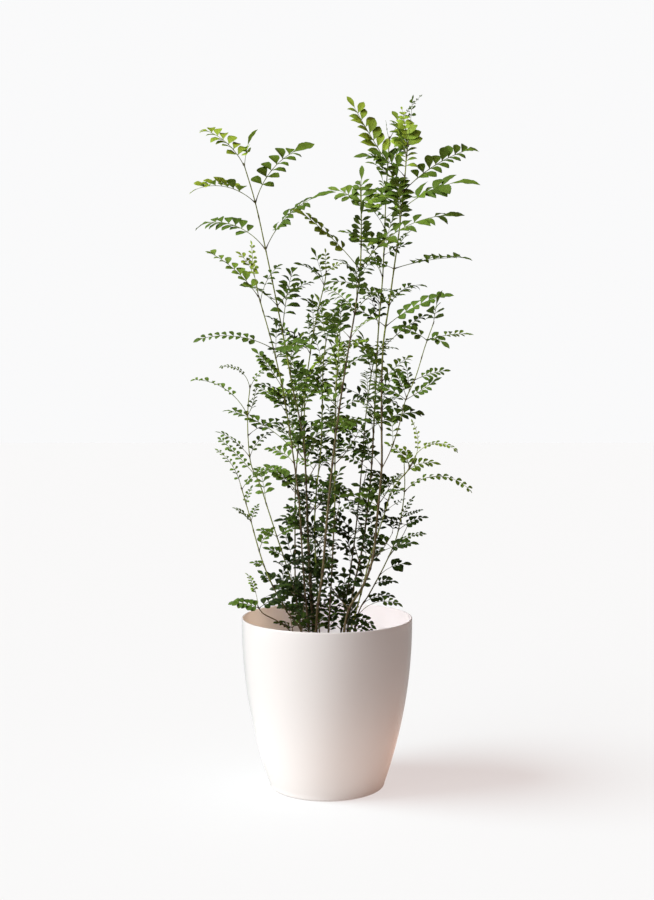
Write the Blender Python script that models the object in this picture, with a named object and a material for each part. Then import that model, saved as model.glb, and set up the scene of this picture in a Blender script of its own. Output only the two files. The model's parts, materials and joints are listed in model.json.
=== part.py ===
"""Potted evergreen ash: a glossy moulded cover pot, the nursery pot and root ball that stand in it,
and a bush of slender canes that carry opposite pairs of pinnate leaves.

Metres, +Z up.  The origin is the centre of the cover pot's flat underside, and the front is -Y.
"""
import math

import bmesh
import bpy
from mathutils import Vector
from mathutils.bvhtree import BVHTree

GAP = 0.0003                    # left between pieces that touch

# cover pot: the wall is one arc, widest just under the rim
POT_HEIGHT = 0.2805
POT_WIDEST_RADIUS = 0.1412
POT_WIDEST_HEIGHT = 0.2745
POT_WALL_ARC = 0.825
POT_WALL = 0.0026
POT_FLOOR = 0.004
POT_FOOT_FILLET = 0.004
POT_FOOT_REVEAL = 0.0015        # the foot stands in from the wall and leaves a fine dark line
POT_SIDES = 36

# nursery pot: a plain tapered pot with a lip and drain holes
NURSERY_BASE_RADIUS = 0.080
NURSERY_TOP_RADIUS = 0.116
NURSERY_HEIGHT = 0.217
NURSERY_WALL = 0.0016
NURSERY_LIP = 0.004
NURSERY_LIP_HEIGHT = 0.012
NURSERY_SIDES = 28
DRAIN_HOLES = 6
DRAIN_RADIUS = 0.006
DRAIN_CIRCLE = 0.050

# root ball
SOIL_DEPTH = 0.203
SOIL_CROWN = 0.004              # the middle stands this much higher than the edge
SOIL_UNEVEN = 0.002
SOIL_SIDES = NURSERY_SIDES      # so that the flats of soil and pot lie face to face
SOCKET_DEPTH = 0.035

# canes
STEM_SIDES = 6
STEM_TIP_RADIUS = 0.0012

# leaves
COLLAR_SIDES = 6
COLLAR_HEIGHT = 0.003
COLLAR_WALL = 0.0010
COLLAR_GAP = 0.0004
PETIOLE_SHARE = 0.28            # bare part of a leaf's length
PETIOLE_HALF_WIDTH = 0.0008
PETIOLE_HALF_DEPTH = 0.0006
BLADE_HALF_DEPTH = 0.0003
BLADE_WIDTH_SHARE = 0.155       # half the leaf's width over its length
LEAFLET_PITCH = 0.022
NOTCH_SHARE = 0.30              # width left between two leaflets
LEAF_CLEARANCE = 0.0004
SWINGS = (0, 7, -7, 14, -14, 21, -21, 28, -28)
LIFTS = (0, 8, -8, 16, -16)

GREEN_CANE = (0.13, 0.20, 0.05)
BARK = (0.16, 0.12, 0.09)
YOUNG_LEAF = (0.24, 0.40, 0.06)
CROWN_LEAF = (0.08, 0.20, 0.04)
OLD_LEAF = (0.03, 0.10, 0.03)

# each cane: its radius at the soil, its colour, and the points it grows through
STEMS = {
    "left_tall": (0.0025, BARK, (
        (-0.020, 0.010, 0.204), (-0.030, 0.025, 0.354), (-0.040, 0.035, 0.574), (-0.057, 0.030, 0.659),
        (-0.075, 0.020, 0.759), (-0.100, 0.000, 0.884), (-0.117, -0.010, 0.962), (-0.135, -0.020, 1.023))),
    "left_second": (0.0022, BARK, (
        (-0.025, -0.015, 0.204), (-0.034, -0.030, 0.304), (-0.040, -0.035, 0.384), (-0.045, -0.045, 0.474),
        (-0.056, -0.060, 0.564), (-0.068, -0.070, 0.644), (-0.084, -0.080, 0.719), (-0.108, -0.090, 0.806))),
    "centre": (0.0030, BARK, (
        (-0.018, -0.037, 0.204), (-0.016, -0.045, 0.294), (-0.008, -0.050, 0.354), (0.000, -0.055, 0.449),
        (0.011, -0.060, 0.559), (0.023, -0.060, 0.649), (0.034, -0.060, 0.719), (0.045, -0.055, 0.784),
        (0.053, -0.050, 0.849), (0.055, -0.040, 0.934), (0.053, -0.035, 0.993))),
    "right_inner": (0.0024, GREEN_CANE, (
        (0.030, 0.015, 0.204), (0.043, 0.030, 0.314), (0.060, 0.040, 0.392), (0.074, 0.050, 0.509),
        (0.079, 0.055, 0.589), (0.087, 0.060, 0.759), (0.094, 0.055, 0.851), (0.097, 0.050, 0.932),
        (0.099, 0.045, 0.990), (0.104, 0.040, 1.078))),
    "right_tall": (0.0030, BARK, (
        (0.024, -0.030, 0.204), (0.034, -0.035, 0.294), (0.059, -0.040, 0.339), (0.074, -0.045, 0.383),
        (0.081, -0.045, 0.449), (0.087, -0.050, 0.529), (0.088, -0.050, 0.589), (0.088, -0.045, 0.654),
        (0.091, -0.040, 0.732), (0.100, -0.035, 0.793), (0.108, -0.030, 0.850), (0.117, -0.020, 0.914),
        (0.126, -0.010, 0.997), (0.132, 0.000, 1.059))),
    "green_right": (0.0019, GREEN_CANE, (
        (0.026, 0.000, 0.204), (0.057, -0.010, 0.324), (0.072, -0.020, 0.386), (0.081, -0.020, 0.414),
        (0.095, -0.030, 0.459), (0.104, -0.040, 0.491), (0.117, -0.045, 0.511), (0.129, -0.050, 0.525),
        (0.138, -0.052, 0.540))),
    "right_low": (0.0019, BARK, (
        (0.042, 0.006, 0.204), (0.053, 0.020, 0.284), (0.071, 0.030, 0.313), (0.097, 0.040, 0.360),
        (0.116, 0.050, 0.401), (0.125, 0.055, 0.437), (0.132, 0.060, 0.488), (0.131, 0.060, 0.534))),
    "left_outer": (0.0020, BARK, (
        (-0.037, -0.005, 0.204), (-0.051, -0.010, 0.309), (-0.068, -0.020, 0.373), (-0.081, -0.030, 0.415),
        (-0.096, -0.035, 0.463), (-0.109, -0.040, 0.504), (-0.122, -0.045, 0.534), (-0.127, -0.050, 0.581),
        (-0.127, -0.050, 0.627), (-0.123, -0.050, 0.666))),
    "left_low": (0.0020, BARK, (
        (-0.032, -0.030, 0.204), (-0.042, -0.045, 0.265), (-0.065, -0.060, 0.300), (-0.086, -0.075, 0.342),
        (-0.101, -0.085, 0.380), (-0.114, -0.090, 0.425), (-0.121, -0.090, 0.452), (-0.137, -0.090, 0.508))),
    "left_sprawl": (0.0017, BARK, (
        (-0.042, -0.045, 0.204), (-0.060, -0.060, 0.268), (-0.080, -0.070, 0.286), (-0.103, -0.080, 0.301),
        (-0.111, -0.085, 0.314))),
    "green_inner": (0.0020, GREEN_CANE, (
        (-0.011, 0.030, 0.204), (-0.016, 0.035, 0.311), (-0.020, 0.042, 0.392), (-0.021, 0.045, 0.432),
        (-0.017, 0.050, 0.496), (-0.011, 0.050, 0.545), (-0.008, 0.050, 0.626), (-0.006, 0.045, 0.703),
        (-0.001, 0.045, 0.743))),
    "thin_left": (0.0018, GREEN_CANE, (
        (-0.018, 0.047, 0.204), (-0.029, 0.060, 0.367), (-0.036, 0.070, 0.520), (-0.038, 0.070, 0.639),
        (-0.028, 0.065, 0.721), (-0.015, 0.060, 0.791), (-0.004, 0.055, 0.836), (-0.001, 0.050, 0.857))),
    "upright": (0.0020, GREEN_CANE, (
        (0.000, 0.000, 0.204), (0.009, 0.000, 0.375), (0.013, -0.005, 0.475), (0.013, -0.010, 0.538),
        (0.014, -0.010, 0.640), (0.021, -0.010, 0.738))),
    "back_left": (0.0020, BARK, (
        (-0.041, 0.030, 0.204), (-0.047, 0.050, 0.276), (-0.053, 0.060, 0.307), (-0.055, 0.080, 0.392),
        (-0.054, 0.100, 0.501), (-0.047, 0.110, 0.587), (-0.039, 0.120, 0.665))),
    "back_right": (0.0020, BARK, (
        (0.018, 0.040, 0.204), (0.030, 0.060, 0.281), (0.043, 0.080, 0.364), (0.050, 0.090, 0.418),
        (0.060, 0.110, 0.517), (0.067, 0.120, 0.604), (0.078, 0.130, 0.691))),
}

# the limb that leaves the tall right-hand cane, as one piece with it
LIMB_RADIUS = 0.0017
LIMB = (
    (0.087, -0.050, 0.529), (0.101, -0.060, 0.557), (0.114, -0.070, 0.597), (0.124, -0.080, 0.639),
    (0.140, -0.085, 0.677), (0.154, -0.090, 0.724), (0.168, -0.095, 0.764))

# leaf pairs: cane, height of the node, and for each of the two leaves its heading in degrees from +X,
# its length, and the slope in degrees at which it starts and ends
LEAF_PAIRS = (
    ("left_tall", 1.019, (150, 0.114, 60, 16), (-40, 0.062, 86, 56)),
    ("left_tall", 0.961, (210, 0.123, 38, -32), (30, 0.160, 74, 12)),
    ("left_tall", 0.887, (150, 0.160, 50, -15), (-25, 0.155, 65, 5)),
    ("left_second", 0.802, (160, 0.120, 55, 25), (-110, 0.090, 60, 85)),
    ("left_second", 0.721, (190, 0.130, 30, -20), (-50, 0.100, 10, -10)),
    ("centre", 0.849, (200, 0.145, 50, 30), (20, 0.195, 60, -5)),
    ("right_inner", 1.074, (25, 0.100, 60, 45), (200, 0.030, 88, 80)),
    ("right_inner", 1.034, (165, 0.135, 60, 60), (-20, 0.058, 45, 28)),
    ("right_tall", 1.054, (110, 0.075, 80, 60), (-75, 0.080, 75, 70)),
    ("right_tall", 0.979, (25, 0.170, 45, 15), (205, 0.080, 50, 20)),
    ("right_tall", 0.949, (-30, 0.140, 35, -5), (150, 0.090, 45, 10)),
    ("right_tall", 0.852, (15, 0.135, 19, -1), (195, 0.060, 25, 0)),
    ("right_limb", 0.734, (10, 0.075, 20, -5), (190, 0.060, 40, 0)),
    ("left_outer", 0.616, (165, 0.120, 65, -5), (-60, 0.060, 40, 80)),
    ("left_outer", 0.519, (150, 0.095, 45, 35), (-30, 0.060, 25, -5)),
    ("right_low", 0.484, (-15, 0.130, 50, -50), (165, 0.060, 40, 0)),
    ("green_right", 0.534, (-25, 0.100, 78, -45), (155, 0.060, 60, 20)),
    ("left_second", 0.564, (170, 0.135, 45, 10), (-80, 0.110, 30, 0)),
    ("left_low", 0.499, (165, 0.081, 82, 30), (-20, 0.060, 60, 10)),
    ("right_tall", 0.793, (40, 0.095, 55, -10), (220, 0.070, 40, 0)),
    ("right_tall", 0.759, (-15, 0.120, 40, 10), (165, 0.090, 40, 10)),
    ("left_tall", 0.796, (225, 0.085, 40, 0), (45, 0.100, 45, 10)),
    ("left_tall", 0.754, (50, 0.160, 80, 40), (230, 0.050, 50, 10)),
    ("centre", 0.954, (160, 0.065, 45, 10), (-20, 0.045, 30, 0)),
    ("centre", 0.894, (215, 0.045, 35, 0), (20, 0.055, 25, -20)),
    ("right_inner", 0.944, (150, 0.045, 50, 10), (-25, 0.045, 40, 10)),
    ("left_second", 0.643, (215, 0.060, 45, 0), (35, 0.100, 50, 10)),
    ("left_outer", 0.660, (200, 0.068, 88, -20), (20, 0.046, 72, 20)),
    ("left_outer", 0.549, (200, 0.070, 55, 20), (20, 0.060, 75, 15)),
    ("right_limb", 0.641, (0, 0.065, 35, 35), (180, 0.060, 40, 10)),
    ("green_right", 0.459, (20, 0.040, 40, 20), (190, 0.080, 40, 0)),
    ("right_low", 0.389, (-20, 0.065, 50, 0), (160, 0.060, 40, 0)),
    ("left_low", 0.449, (215, 0.040, 45, 30), (60, 0.035, 70, 30)),
    ("left_sprawl", 0.309, (180, 0.050, 26, -8), (10, 0.060, 40, 0)),
    ("centre", 0.779, (120, 0.120, 45, 0), (-60, 0.120, 40, -15)),
    ("green_inner", 0.739, (250, 0.090, 70, 50), (70, 0.090, 60, 30)),
    ("thin_left", 0.854, (260, 0.040, 88, 84), (15, 0.032, 45, 15)),
    ("upright", 0.734, (-60, 0.120, 60, 10), (120, 0.100, 50, 10)),
    ("back_left", 0.661, (120, 0.140, 55, 5), (-60, 0.110, 60, 20)),
    ("back_left", 0.549, (120, 0.090, 45, 10), (-30, 0.080, 50, 10)),
    ("back_right", 0.687, (70, 0.130, 55, 5), (250, 0.100, 60, 20)),
    ("back_right", 0.579, (30, 0.140, 40, -10), (210, 0.090, 40, 0)),
)
OLD_WOOD_TOP = 0.57             # leaves below this are old and dark
YOUNG_LEAF_LENGTH = 0.082       # leaves shorter than this, higher up, are young


def clear_scene():
    for item in list(bpy.data.objects):
        bpy.data.objects.remove(item, do_unlink=True)


def make_material(name, colour, roughness):
    material = bpy.data.materials.new(name)
    material.use_nodes = True
    shader = material.node_tree.nodes["Principled BSDF"]
    shader.inputs["Base Color"].default_value = (*colour, 1.0)
    shader.inputs["Roughness"].default_value = roughness
    shader.inputs["Metallic"].default_value = 0.0
    return material


def add_object(name, bm, material):
    bmesh.ops.recalc_face_normals(bm, faces=bm.faces[:])
    mesh = bpy.data.meshes.new(name)
    bm.to_mesh(mesh)
    bm.free()
    mesh.shade_smooth()
    mesh.set_sharp_from_angle(angle=math.radians(35))
    item = bpy.data.objects.new(name, mesh)
    bpy.context.scene.collection.objects.link(item)
    if material is not None:
        mesh.materials.append(material)
    return item


def mark_as_tool(item):
    """A cutter or a part of a union is only a tool: it isn't a piece itself."""
    item.hide_render = True
    item.display_type = "WIRE"
    return item


def add_boolean(item, tool, operation):
    modifier = item.modifiers.new(tool.name, "BOOLEAN")
    modifier.object = tool
    modifier.operation = operation


# ---- turned pieces --------------------------------------------------------------------------------

def turn(profile, sides):
    """Closed solid of revolution about Z; a profile point on the axis becomes one vertex."""
    bm = bmesh.new()
    rings = []
    for radius, height in profile:
        if radius == 0.0:
            rings.append([bm.verts.new((0.0, 0.0, height))])
            continue
        angles = [2 * math.pi * step / sides for step in range(sides)]
        rings.append([bm.verts.new((radius * math.cos(a), radius * math.sin(a), height)) for a in angles])
    for lower, upper in zip(rings, rings[1:]):
        for step in range(sides):
            after = (step + 1) % sides
            corners = [lower[step % len(lower)], lower[after % len(lower)],
                       upper[after % len(upper)], upper[step % len(upper)]]
            bm.faces.new(list(dict.fromkeys(corners)))
    return bm


def pot_outer_radius(height):
    rise = height - POT_WIDEST_HEIGHT
    return POT_WIDEST_RADIUS - POT_WALL_ARC + math.sqrt(POT_WALL_ARC ** 2 - rise ** 2)


def cover_pot_profile():
    foot = pot_outer_radius(0.0) - POT_FOOT_REVEAL
    outer_heights = [POT_FOOT_FILLET, 0.030, 0.060, 0.095, 0.135, 0.180, 0.225, POT_WIDEST_HEIGHT]
    inner_heights = [0.225, 0.180, 0.135, 0.095, 0.060, 0.030, POT_FLOOR + POT_FOOT_FILLET]
    lip = POT_WALL / 3
    profile = [(0.0, 0.0), (foot - POT_FOOT_FILLET / 2, 0.0), (foot, POT_FOOT_REVEAL)]
    profile += [(pot_outer_radius(z), z) for z in outer_heights]
    profile += [(pot_outer_radius(POT_HEIGHT), POT_HEIGHT - lip),
                (pot_outer_radius(POT_HEIGHT) - lip, POT_HEIGHT),
                (pot_outer_radius(POT_HEIGHT) - 2 * lip, POT_HEIGHT),
                (pot_outer_radius(POT_HEIGHT) - POT_WALL, POT_HEIGHT - lip)]
    profile += [(pot_outer_radius(z) - POT_WALL, z) for z in inner_heights]
    profile += [(foot - POT_FOOT_FILLET, POT_FLOOR), (0.0, POT_FLOOR)]
    return profile


def make_cover_pot():
    ivory = make_material("ivory_plastic", (0.90, 0.88, 0.84), 0.2)
    add_object("cover_pot", turn(cover_pot_profile(), POT_SIDES), ivory)


def make_nursery_pot():
    base = POT_FLOOR + GAP
    top = base + NURSERY_HEIGHT
    inner_top = NURSERY_TOP_RADIUS - NURSERY_WALL
    profile = [(0.0, base), (NURSERY_BASE_RADIUS, base),
               (NURSERY_TOP_RADIUS, top - NURSERY_LIP_HEIGHT),
               (NURSERY_TOP_RADIUS + NURSERY_LIP, top - NURSERY_LIP_HEIGHT),
               (NURSERY_TOP_RADIUS + NURSERY_LIP, top), (inner_top, top),
               (inner_top, top - NURSERY_LIP_HEIGHT),
               (NURSERY_BASE_RADIUS - NURSERY_WALL, base + NURSERY_WALL), (0.0, base + NURSERY_WALL)]
    black = make_material("black_nursery_plastic", (0.03, 0.03, 0.03), 0.5)
    pot = add_object("nursery_pot", turn(profile, NURSERY_SIDES), black)
    drains = mark_as_tool(add_object("drain_holes", drain_cutter(base), None))
    add_boolean(pot, drains, "DIFFERENCE")


def drain_cutter(base):
    bm = bmesh.new()
    for step in range(DRAIN_HOLES):
        angle = 2 * math.pi * step / DRAIN_HOLES
        at = Vector((DRAIN_CIRCLE * math.cos(angle), DRAIN_CIRCLE * math.sin(angle), base))
        made = bmesh.ops.create_cone(bm, cap_ends=True, segments=8, radius1=DRAIN_RADIUS,
                                     radius2=DRAIN_RADIUS, depth=8 * NURSERY_WALL)
        bmesh.ops.translate(bm, verts=made["verts"], vec=at)
    return bm


def soil_bottom():
    return POT_FLOOR + GAP + NURSERY_WALL + GAP


def nursery_inner_radius(height):
    """Inside of the nursery pot's tapered wall."""
    low = POT_FLOOR + GAP + NURSERY_WALL
    high = POT_FLOOR + GAP + NURSERY_HEIGHT - NURSERY_LIP_HEIGHT
    share = (height - low) / (high - low)
    narrow = NURSERY_BASE_RADIUS - NURSERY_WALL
    wide = NURSERY_TOP_RADIUS - NURSERY_WALL
    return narrow + (wide - narrow) * share


def soil_body():
    low = soil_bottom()
    edge = low + SOIL_DEPTH - SOIL_CROWN
    clearance = 2 * GAP
    shoulder = edge - SOIL_CROWN
    rim = nursery_inner_radius(shoulder) - clearance
    profile = [(0.0, low), (nursery_inner_radius(low) - clearance, low), (rim, shoulder),
               (0.94 * rim, edge), (0.62 * rim, edge + 0.6 * SOIL_CROWN), (0.0, edge + SOIL_CROWN)]
    bm = turn(profile, SOIL_SIDES)
    for vertex in bm.verts:
        if vertex.co.z >= edge - GAP:
            wave = math.sin(61 * vertex.co.x + 1) + math.cos(53 * vertex.co.y - 40 * vertex.co.x)
            vertex.co.z -= SOIL_UNEVEN * (2 + wave) / 4
    return bm


# ---- canes ----------------------------------------------------------------------------------------

def route_points(name):
    if name == "right_limb":
        return [Vector(point) for point in LIMB]
    return [Vector(point) for point in STEMS[name][2]]


def base_radius(name):
    return LIMB_RADIUS if name == "right_limb" else STEMS[name][0]


def radius_at(name, height):
    """Canes taper evenly with height."""
    route = route_points(name)
    share = (height - route[0].z) / (route[-1].z - route[0].z)
    share = min(max(share, 0.0), 1.0)
    return base_radius(name) + (STEM_TIP_RADIUS - base_radius(name)) * share


def place_on_route(name, height):
    """Point and direction of a cane at a height."""
    route = route_points(name)
    for start, end in zip(route, route[1:]):
        if height <= end.z:
            break
    direction = (end - start).normalized()
    return start + direction * ((height - start.z) / direction.z), direction


def tube(points, radii, sides):
    """Closed tube through points, its rings square to the bisector of each bend."""
    bm = bmesh.new()
    rings = []
    for index, point in enumerate(points):
        before = points[max(index - 1, 0)]
        after = points[min(index + 1, len(points) - 1)]
        along = (after - before).normalized()
        side = along.cross(Vector((0.0, 1.0, 0.0))).normalized()
        front = along.cross(side)
        ring = []
        for step in range(sides):
            angle = 2 * math.pi * step / sides
            offset = side * math.cos(angle) + front * math.sin(angle)
            ring.append(bm.verts.new(point + offset * radii[index]))
        rings.append(ring)
    for lower, upper in zip(rings, rings[1:]):
        for step in range(sides):
            after = (step + 1) % sides
            bm.faces.new((lower[step], lower[after], upper[after], upper[step]))
    bm.faces.new(rings[0])
    bm.faces.new(rings[-1])
    return bm


def rooted_route(name, spare):
    """A cane's route, carried straight down into its socket and spare further."""
    route = route_points(name)
    return [route[0] - Vector((0.0, 0.0, SOCKET_DEPTH + spare))] + route


def make_stem(name):
    radius, colour, _ = STEMS[name]
    route = rooted_route(name, 0.0)
    radii = [radius_at(name, point.z) for point in route]
    material = make_material("bark_" + name, colour, 0.6)
    stem = add_object("stem_" + name, tube(route, radii, STEM_SIDES), material)
    if name == "right_tall":
        limb = route_points("right_limb")
        limb_radii = [radius_at("right_limb", point.z) for point in limb]
        tool = add_object("limb", tube(limb, limb_radii, STEM_SIDES), None)
        add_boolean(stem, mark_as_tool(tool), "UNION")
    return stem


def make_socket_cutter():
    """One cutter for all the canes' sockets in the root ball."""
    joined = bmesh.new()
    for name in STEMS:
        route = rooted_route(name, GAP)[:2]
        lean = (route_points(name)[1] - route[1]).normalized()
        route.append(route[1] + lean * SOCKET_DEPTH)
        # the flats of a cutter with few sides stand in from its corners
        radius = (base_radius(name) + GAP) / math.cos(math.pi / STEM_SIDES)
        part = tube(route, [radius] * len(route), STEM_SIDES)
        bmesh.ops.recalc_face_normals(part, faces=part.faces[:])
        mesh = bpy.data.meshes.new("socket")
        part.to_mesh(mesh)
        part.free()
        joined.from_mesh(mesh)
        bpy.data.meshes.remove(mesh)
    return mark_as_tool(add_object("sockets", joined, None))


def make_potting_soil():
    brown = make_material("potting_soil", (0.05, 0.035, 0.02), 0.95)
    soil = add_object("potting_soil", soil_body(), brown)
    add_boolean(soil, make_socket_cutter(), "DIFFERENCE")


# ---- leaves ---------------------------------------------------------------------------------------

def leaf_curve(start, leaf):
    """Function of the share along a leaf: its midrib point and direction, on an arc in one plane."""
    heading, length, rise, droop = leaf
    out = Vector((math.cos(math.radians(heading)), math.sin(math.radians(heading)), 0.0))

    def at(share, steps=12):
        point = start.copy()
        for step in range(steps):
            slope = math.radians(rise + (droop - rise) * share * (step + 0.5) / steps)
            point += (out * math.cos(slope) + Vector((0, 0, math.sin(slope)))) * (length * share / steps)
        slope = math.radians(rise + (droop - rise) * share)
        return point, out * math.cos(slope) + Vector((0, 0, math.sin(slope)))

    return at


def blade_stations(length):
    """Share along the leaf and half width: a bare stalk, then a lobe for each pair of leaflets."""
    stations = [(0.02, PETIOLE_HALF_WIDTH), (PETIOLE_SHARE / 2, PETIOLE_HALF_WIDTH)]
    lobes = max(2, min(5, round((1 - PETIOLE_SHARE) * length / LEAFLET_PITCH)))
    widest = BLADE_WIDTH_SHARE * length
    pitch = (1 - PETIOLE_SHARE) / (lobes + 0.5)
    for lobe in range(lobes):
        start = PETIOLE_SHARE + lobe * pitch
        swell = 0.75 + 0.25 * math.sin(math.pi * (lobe + 1) / (lobes + 1))
        notch = PETIOLE_HALF_WIDTH if lobe == 0 else NOTCH_SHARE * widest
        stations.append((start, notch))
        stations.append((start + 0.6 * pitch, swell * widest))
    stations.append((1 - 0.4 * pitch, 0.6 * widest))
    stations.append((1.0, 2 * PETIOLE_HALF_WIDTH))
    return stations


def blade_loops(start, leaf, spare):
    """Corner loops of the blade's cross sections; spare makes it fatter all round, for a test."""
    at = leaf_curve(start, leaf)
    heading = math.radians(leaf[0])
    side = Vector((-math.sin(heading), math.cos(heading), 0.0))
    loops = []
    for share, half_width in blade_stations(leaf[1]):
        point, along = at(share)
        up = along.cross(side)
        bare = share < PETIOLE_SHARE
        half_depth = (PETIOLE_HALF_DEPTH if bare else BLADE_HALF_DEPTH) + spare
        across = side * (half_width + spare)
        loops.append([point - across - up * half_depth, point + across - up * half_depth,
                      point + across + up * half_depth, point - across + up * half_depth])
    return loops


def bridge(bm, first, second):
    for index in range(4):
        after = (index + 1) % 4
        bm.faces.new((first[index], first[after], second[after], second[index]))


def blade_probe(start, leaf):
    """A slightly fattened blade, to test for clearance."""
    bm = bmesh.new()
    loops = [[bm.verts.new(corner) for corner in loop] for loop in blade_loops(start, leaf, LEAF_CLEARANCE)]
    for first, second in zip(loops, loops[1:]):
        bridge(bm, first, second)
    bm.faces.new(loops[0])
    bm.faces.new(loops[-1])
    probe = BVHTree.FromBMesh(bm)
    bm.free()
    return probe


def leaf_foot(centre, radius, leaf):
    """Where a stalk starts: just outside the collar."""
    heading = math.radians(leaf[0])
    return centre + Vector((math.cos(heading), math.sin(heading), 0.0)) * (radius + COLLAR_WALL)


def settle_leaf(centre, radius, leaf, taken):
    """The leaf, swung and tilted as little as it takes to clear what already grows there."""
    for lift in LIFTS:
        for swing in SWINGS:
            heading, length, rise, droop = leaf
            trial = (heading + swing, length, min(rise + lift, 85), droop + lift)
            probe = blade_probe(leaf_foot(centre, radius, trial), trial)
            if not any(probe.overlap(other) for other in taken):
                return trial
    print("no clear place for leaf", leaf, "at", tuple(centre))
    return leaf


def collar_rings(bm, centre, direction, inner, first_heading):
    """Vertices of the clasping collar: inner and outer ring, bottom and top, and its faces but the sides."""
    rings = {}
    turn_back = math.pi / COLLAR_SIDES
    for kind, radius in (("inner", inner), ("outer", inner + COLLAR_WALL)):
        for end, lift in (("low", -0.5), ("high", 0.5)):
            ring = []
            for step in range(COLLAR_SIDES):
                angle = math.radians(first_heading) - turn_back + 2 * math.pi * step / COLLAR_SIDES
                flat = Vector((math.cos(angle), math.sin(angle), 0.0)) * radius
                flat.z = -flat.dot(direction) / direction.z
                ring.append(bm.verts.new(centre + flat + direction * (lift * COLLAR_HEIGHT)))
            rings[kind, end] = ring
    for step in range(COLLAR_SIDES):
        after = (step + 1) % COLLAR_SIDES
        for end in ("low", "high"):
            bm.faces.new((rings["inner", end][step], rings["inner", end][after],
                          rings["outer", end][after], rings["outer", end][step]))
        bm.faces.new((rings["inner", "low"][step], rings["inner", "low"][after],
                      rings["inner", "high"][after], rings["inner", "high"][step]))
    return rings["outer", "low"], rings["outer", "high"]


def make_leaf_pair(name, carrier, height, leaves, taken, material):
    centre, direction = place_on_route(carrier, height)
    # the inner ring's flats must clear the cane's corners
    inner = (radius_at(carrier, height) + COLLAR_GAP) / math.cos(math.pi / COLLAR_SIDES)
    outer = inner + COLLAR_WALL
    settled = [settle_leaf(centre, outer, leaf, taken) for leaf in leaves]
    bm = bmesh.new()
    low, high = collar_rings(bm, centre, direction, inner, settled[0][0])
    sides = (0, COLLAR_SIDES // 2)
    for step in range(COLLAR_SIDES):
        if step not in sides:
            after = (step + 1) % COLLAR_SIDES
            bm.faces.new((low[step], low[after], high[after], high[step]))
    for step, leaf in zip(sides, settled):
        after = (step + 1) % COLLAR_SIDES
        last = [low[step], low[after], high[after], high[step]]
        for loop in blade_loops(leaf_foot(centre, outer, leaf), leaf, 0.0):
            corners = [bm.verts.new(corner) for corner in loop]
            bridge(bm, last, corners)
            last = corners
        bm.faces.new(last)
    bmesh.ops.recalc_face_normals(bm, faces=bm.faces[:])
    taken.append(BVHTree.FromBMesh(bm))
    add_object(name, bm, material)


def leaf_colour(height, leaves, colours):
    if height < OLD_WOOD_TOP:
        return colours["old"]
    if max(leaf[1] for leaf in leaves) < YOUNG_LEAF_LENGTH:
        return colours["young"]
    return colours["crown"]


def make_leaves(taken):
    colours = {"young": make_material("leaf_young", YOUNG_LEAF, 0.45),
               "crown": make_material("leaf_crown", CROWN_LEAF, 0.45),
               "old": make_material("leaf_old", OLD_LEAF, 0.45)}
    counts = {}
    for carrier, height, first, second in LEAF_PAIRS:
        counts[carrier] = counts.get(carrier, 0) + 1
        name = "leaves_%s_%d" % (carrier, counts[carrier])
        material = leaf_colour(height, (first, second), colours)
        make_leaf_pair(name, carrier, height, (first, second), taken, material)


def main():
    clear_scene()
    make_cover_pot()
    make_nursery_pot()
    make_potting_soil()
    stems = [make_stem(name) for name in STEMS]
    bpy.context.view_layer.update()
    depsgraph = bpy.context.evaluated_depsgraph_get()
    taken = [BVHTree.FromObject(item, depsgraph) for item in stems]
    taken.append(BVHTree.FromObject(bpy.data.objects["cover_pot"], depsgraph))
    make_leaves(taken)


main()
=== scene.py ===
"""Looks of the potted evergreen ash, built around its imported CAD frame."""

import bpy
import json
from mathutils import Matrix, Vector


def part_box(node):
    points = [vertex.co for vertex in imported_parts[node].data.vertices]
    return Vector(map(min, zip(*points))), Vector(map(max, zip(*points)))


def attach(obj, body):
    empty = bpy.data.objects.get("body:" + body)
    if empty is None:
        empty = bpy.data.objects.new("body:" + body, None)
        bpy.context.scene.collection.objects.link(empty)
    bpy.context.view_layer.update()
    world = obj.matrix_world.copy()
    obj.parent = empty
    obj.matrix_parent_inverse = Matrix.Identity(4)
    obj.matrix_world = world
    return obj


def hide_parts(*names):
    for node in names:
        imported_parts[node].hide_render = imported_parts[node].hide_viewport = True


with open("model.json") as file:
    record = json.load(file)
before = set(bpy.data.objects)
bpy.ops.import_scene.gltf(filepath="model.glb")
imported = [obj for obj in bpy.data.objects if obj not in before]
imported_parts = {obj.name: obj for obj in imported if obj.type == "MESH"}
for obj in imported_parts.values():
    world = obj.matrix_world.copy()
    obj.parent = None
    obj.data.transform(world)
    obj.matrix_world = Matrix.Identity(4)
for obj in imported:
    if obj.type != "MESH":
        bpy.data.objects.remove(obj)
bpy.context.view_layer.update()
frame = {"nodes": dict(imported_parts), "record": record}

import itertools
import json
import math
import random
from typing import NamedTuple

import bpy
import numpy as np
from mathutils import Vector

UP = np.array((0.0, 0.0, 1.0))


# ---- mesh building -------------------------------------------------

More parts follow.
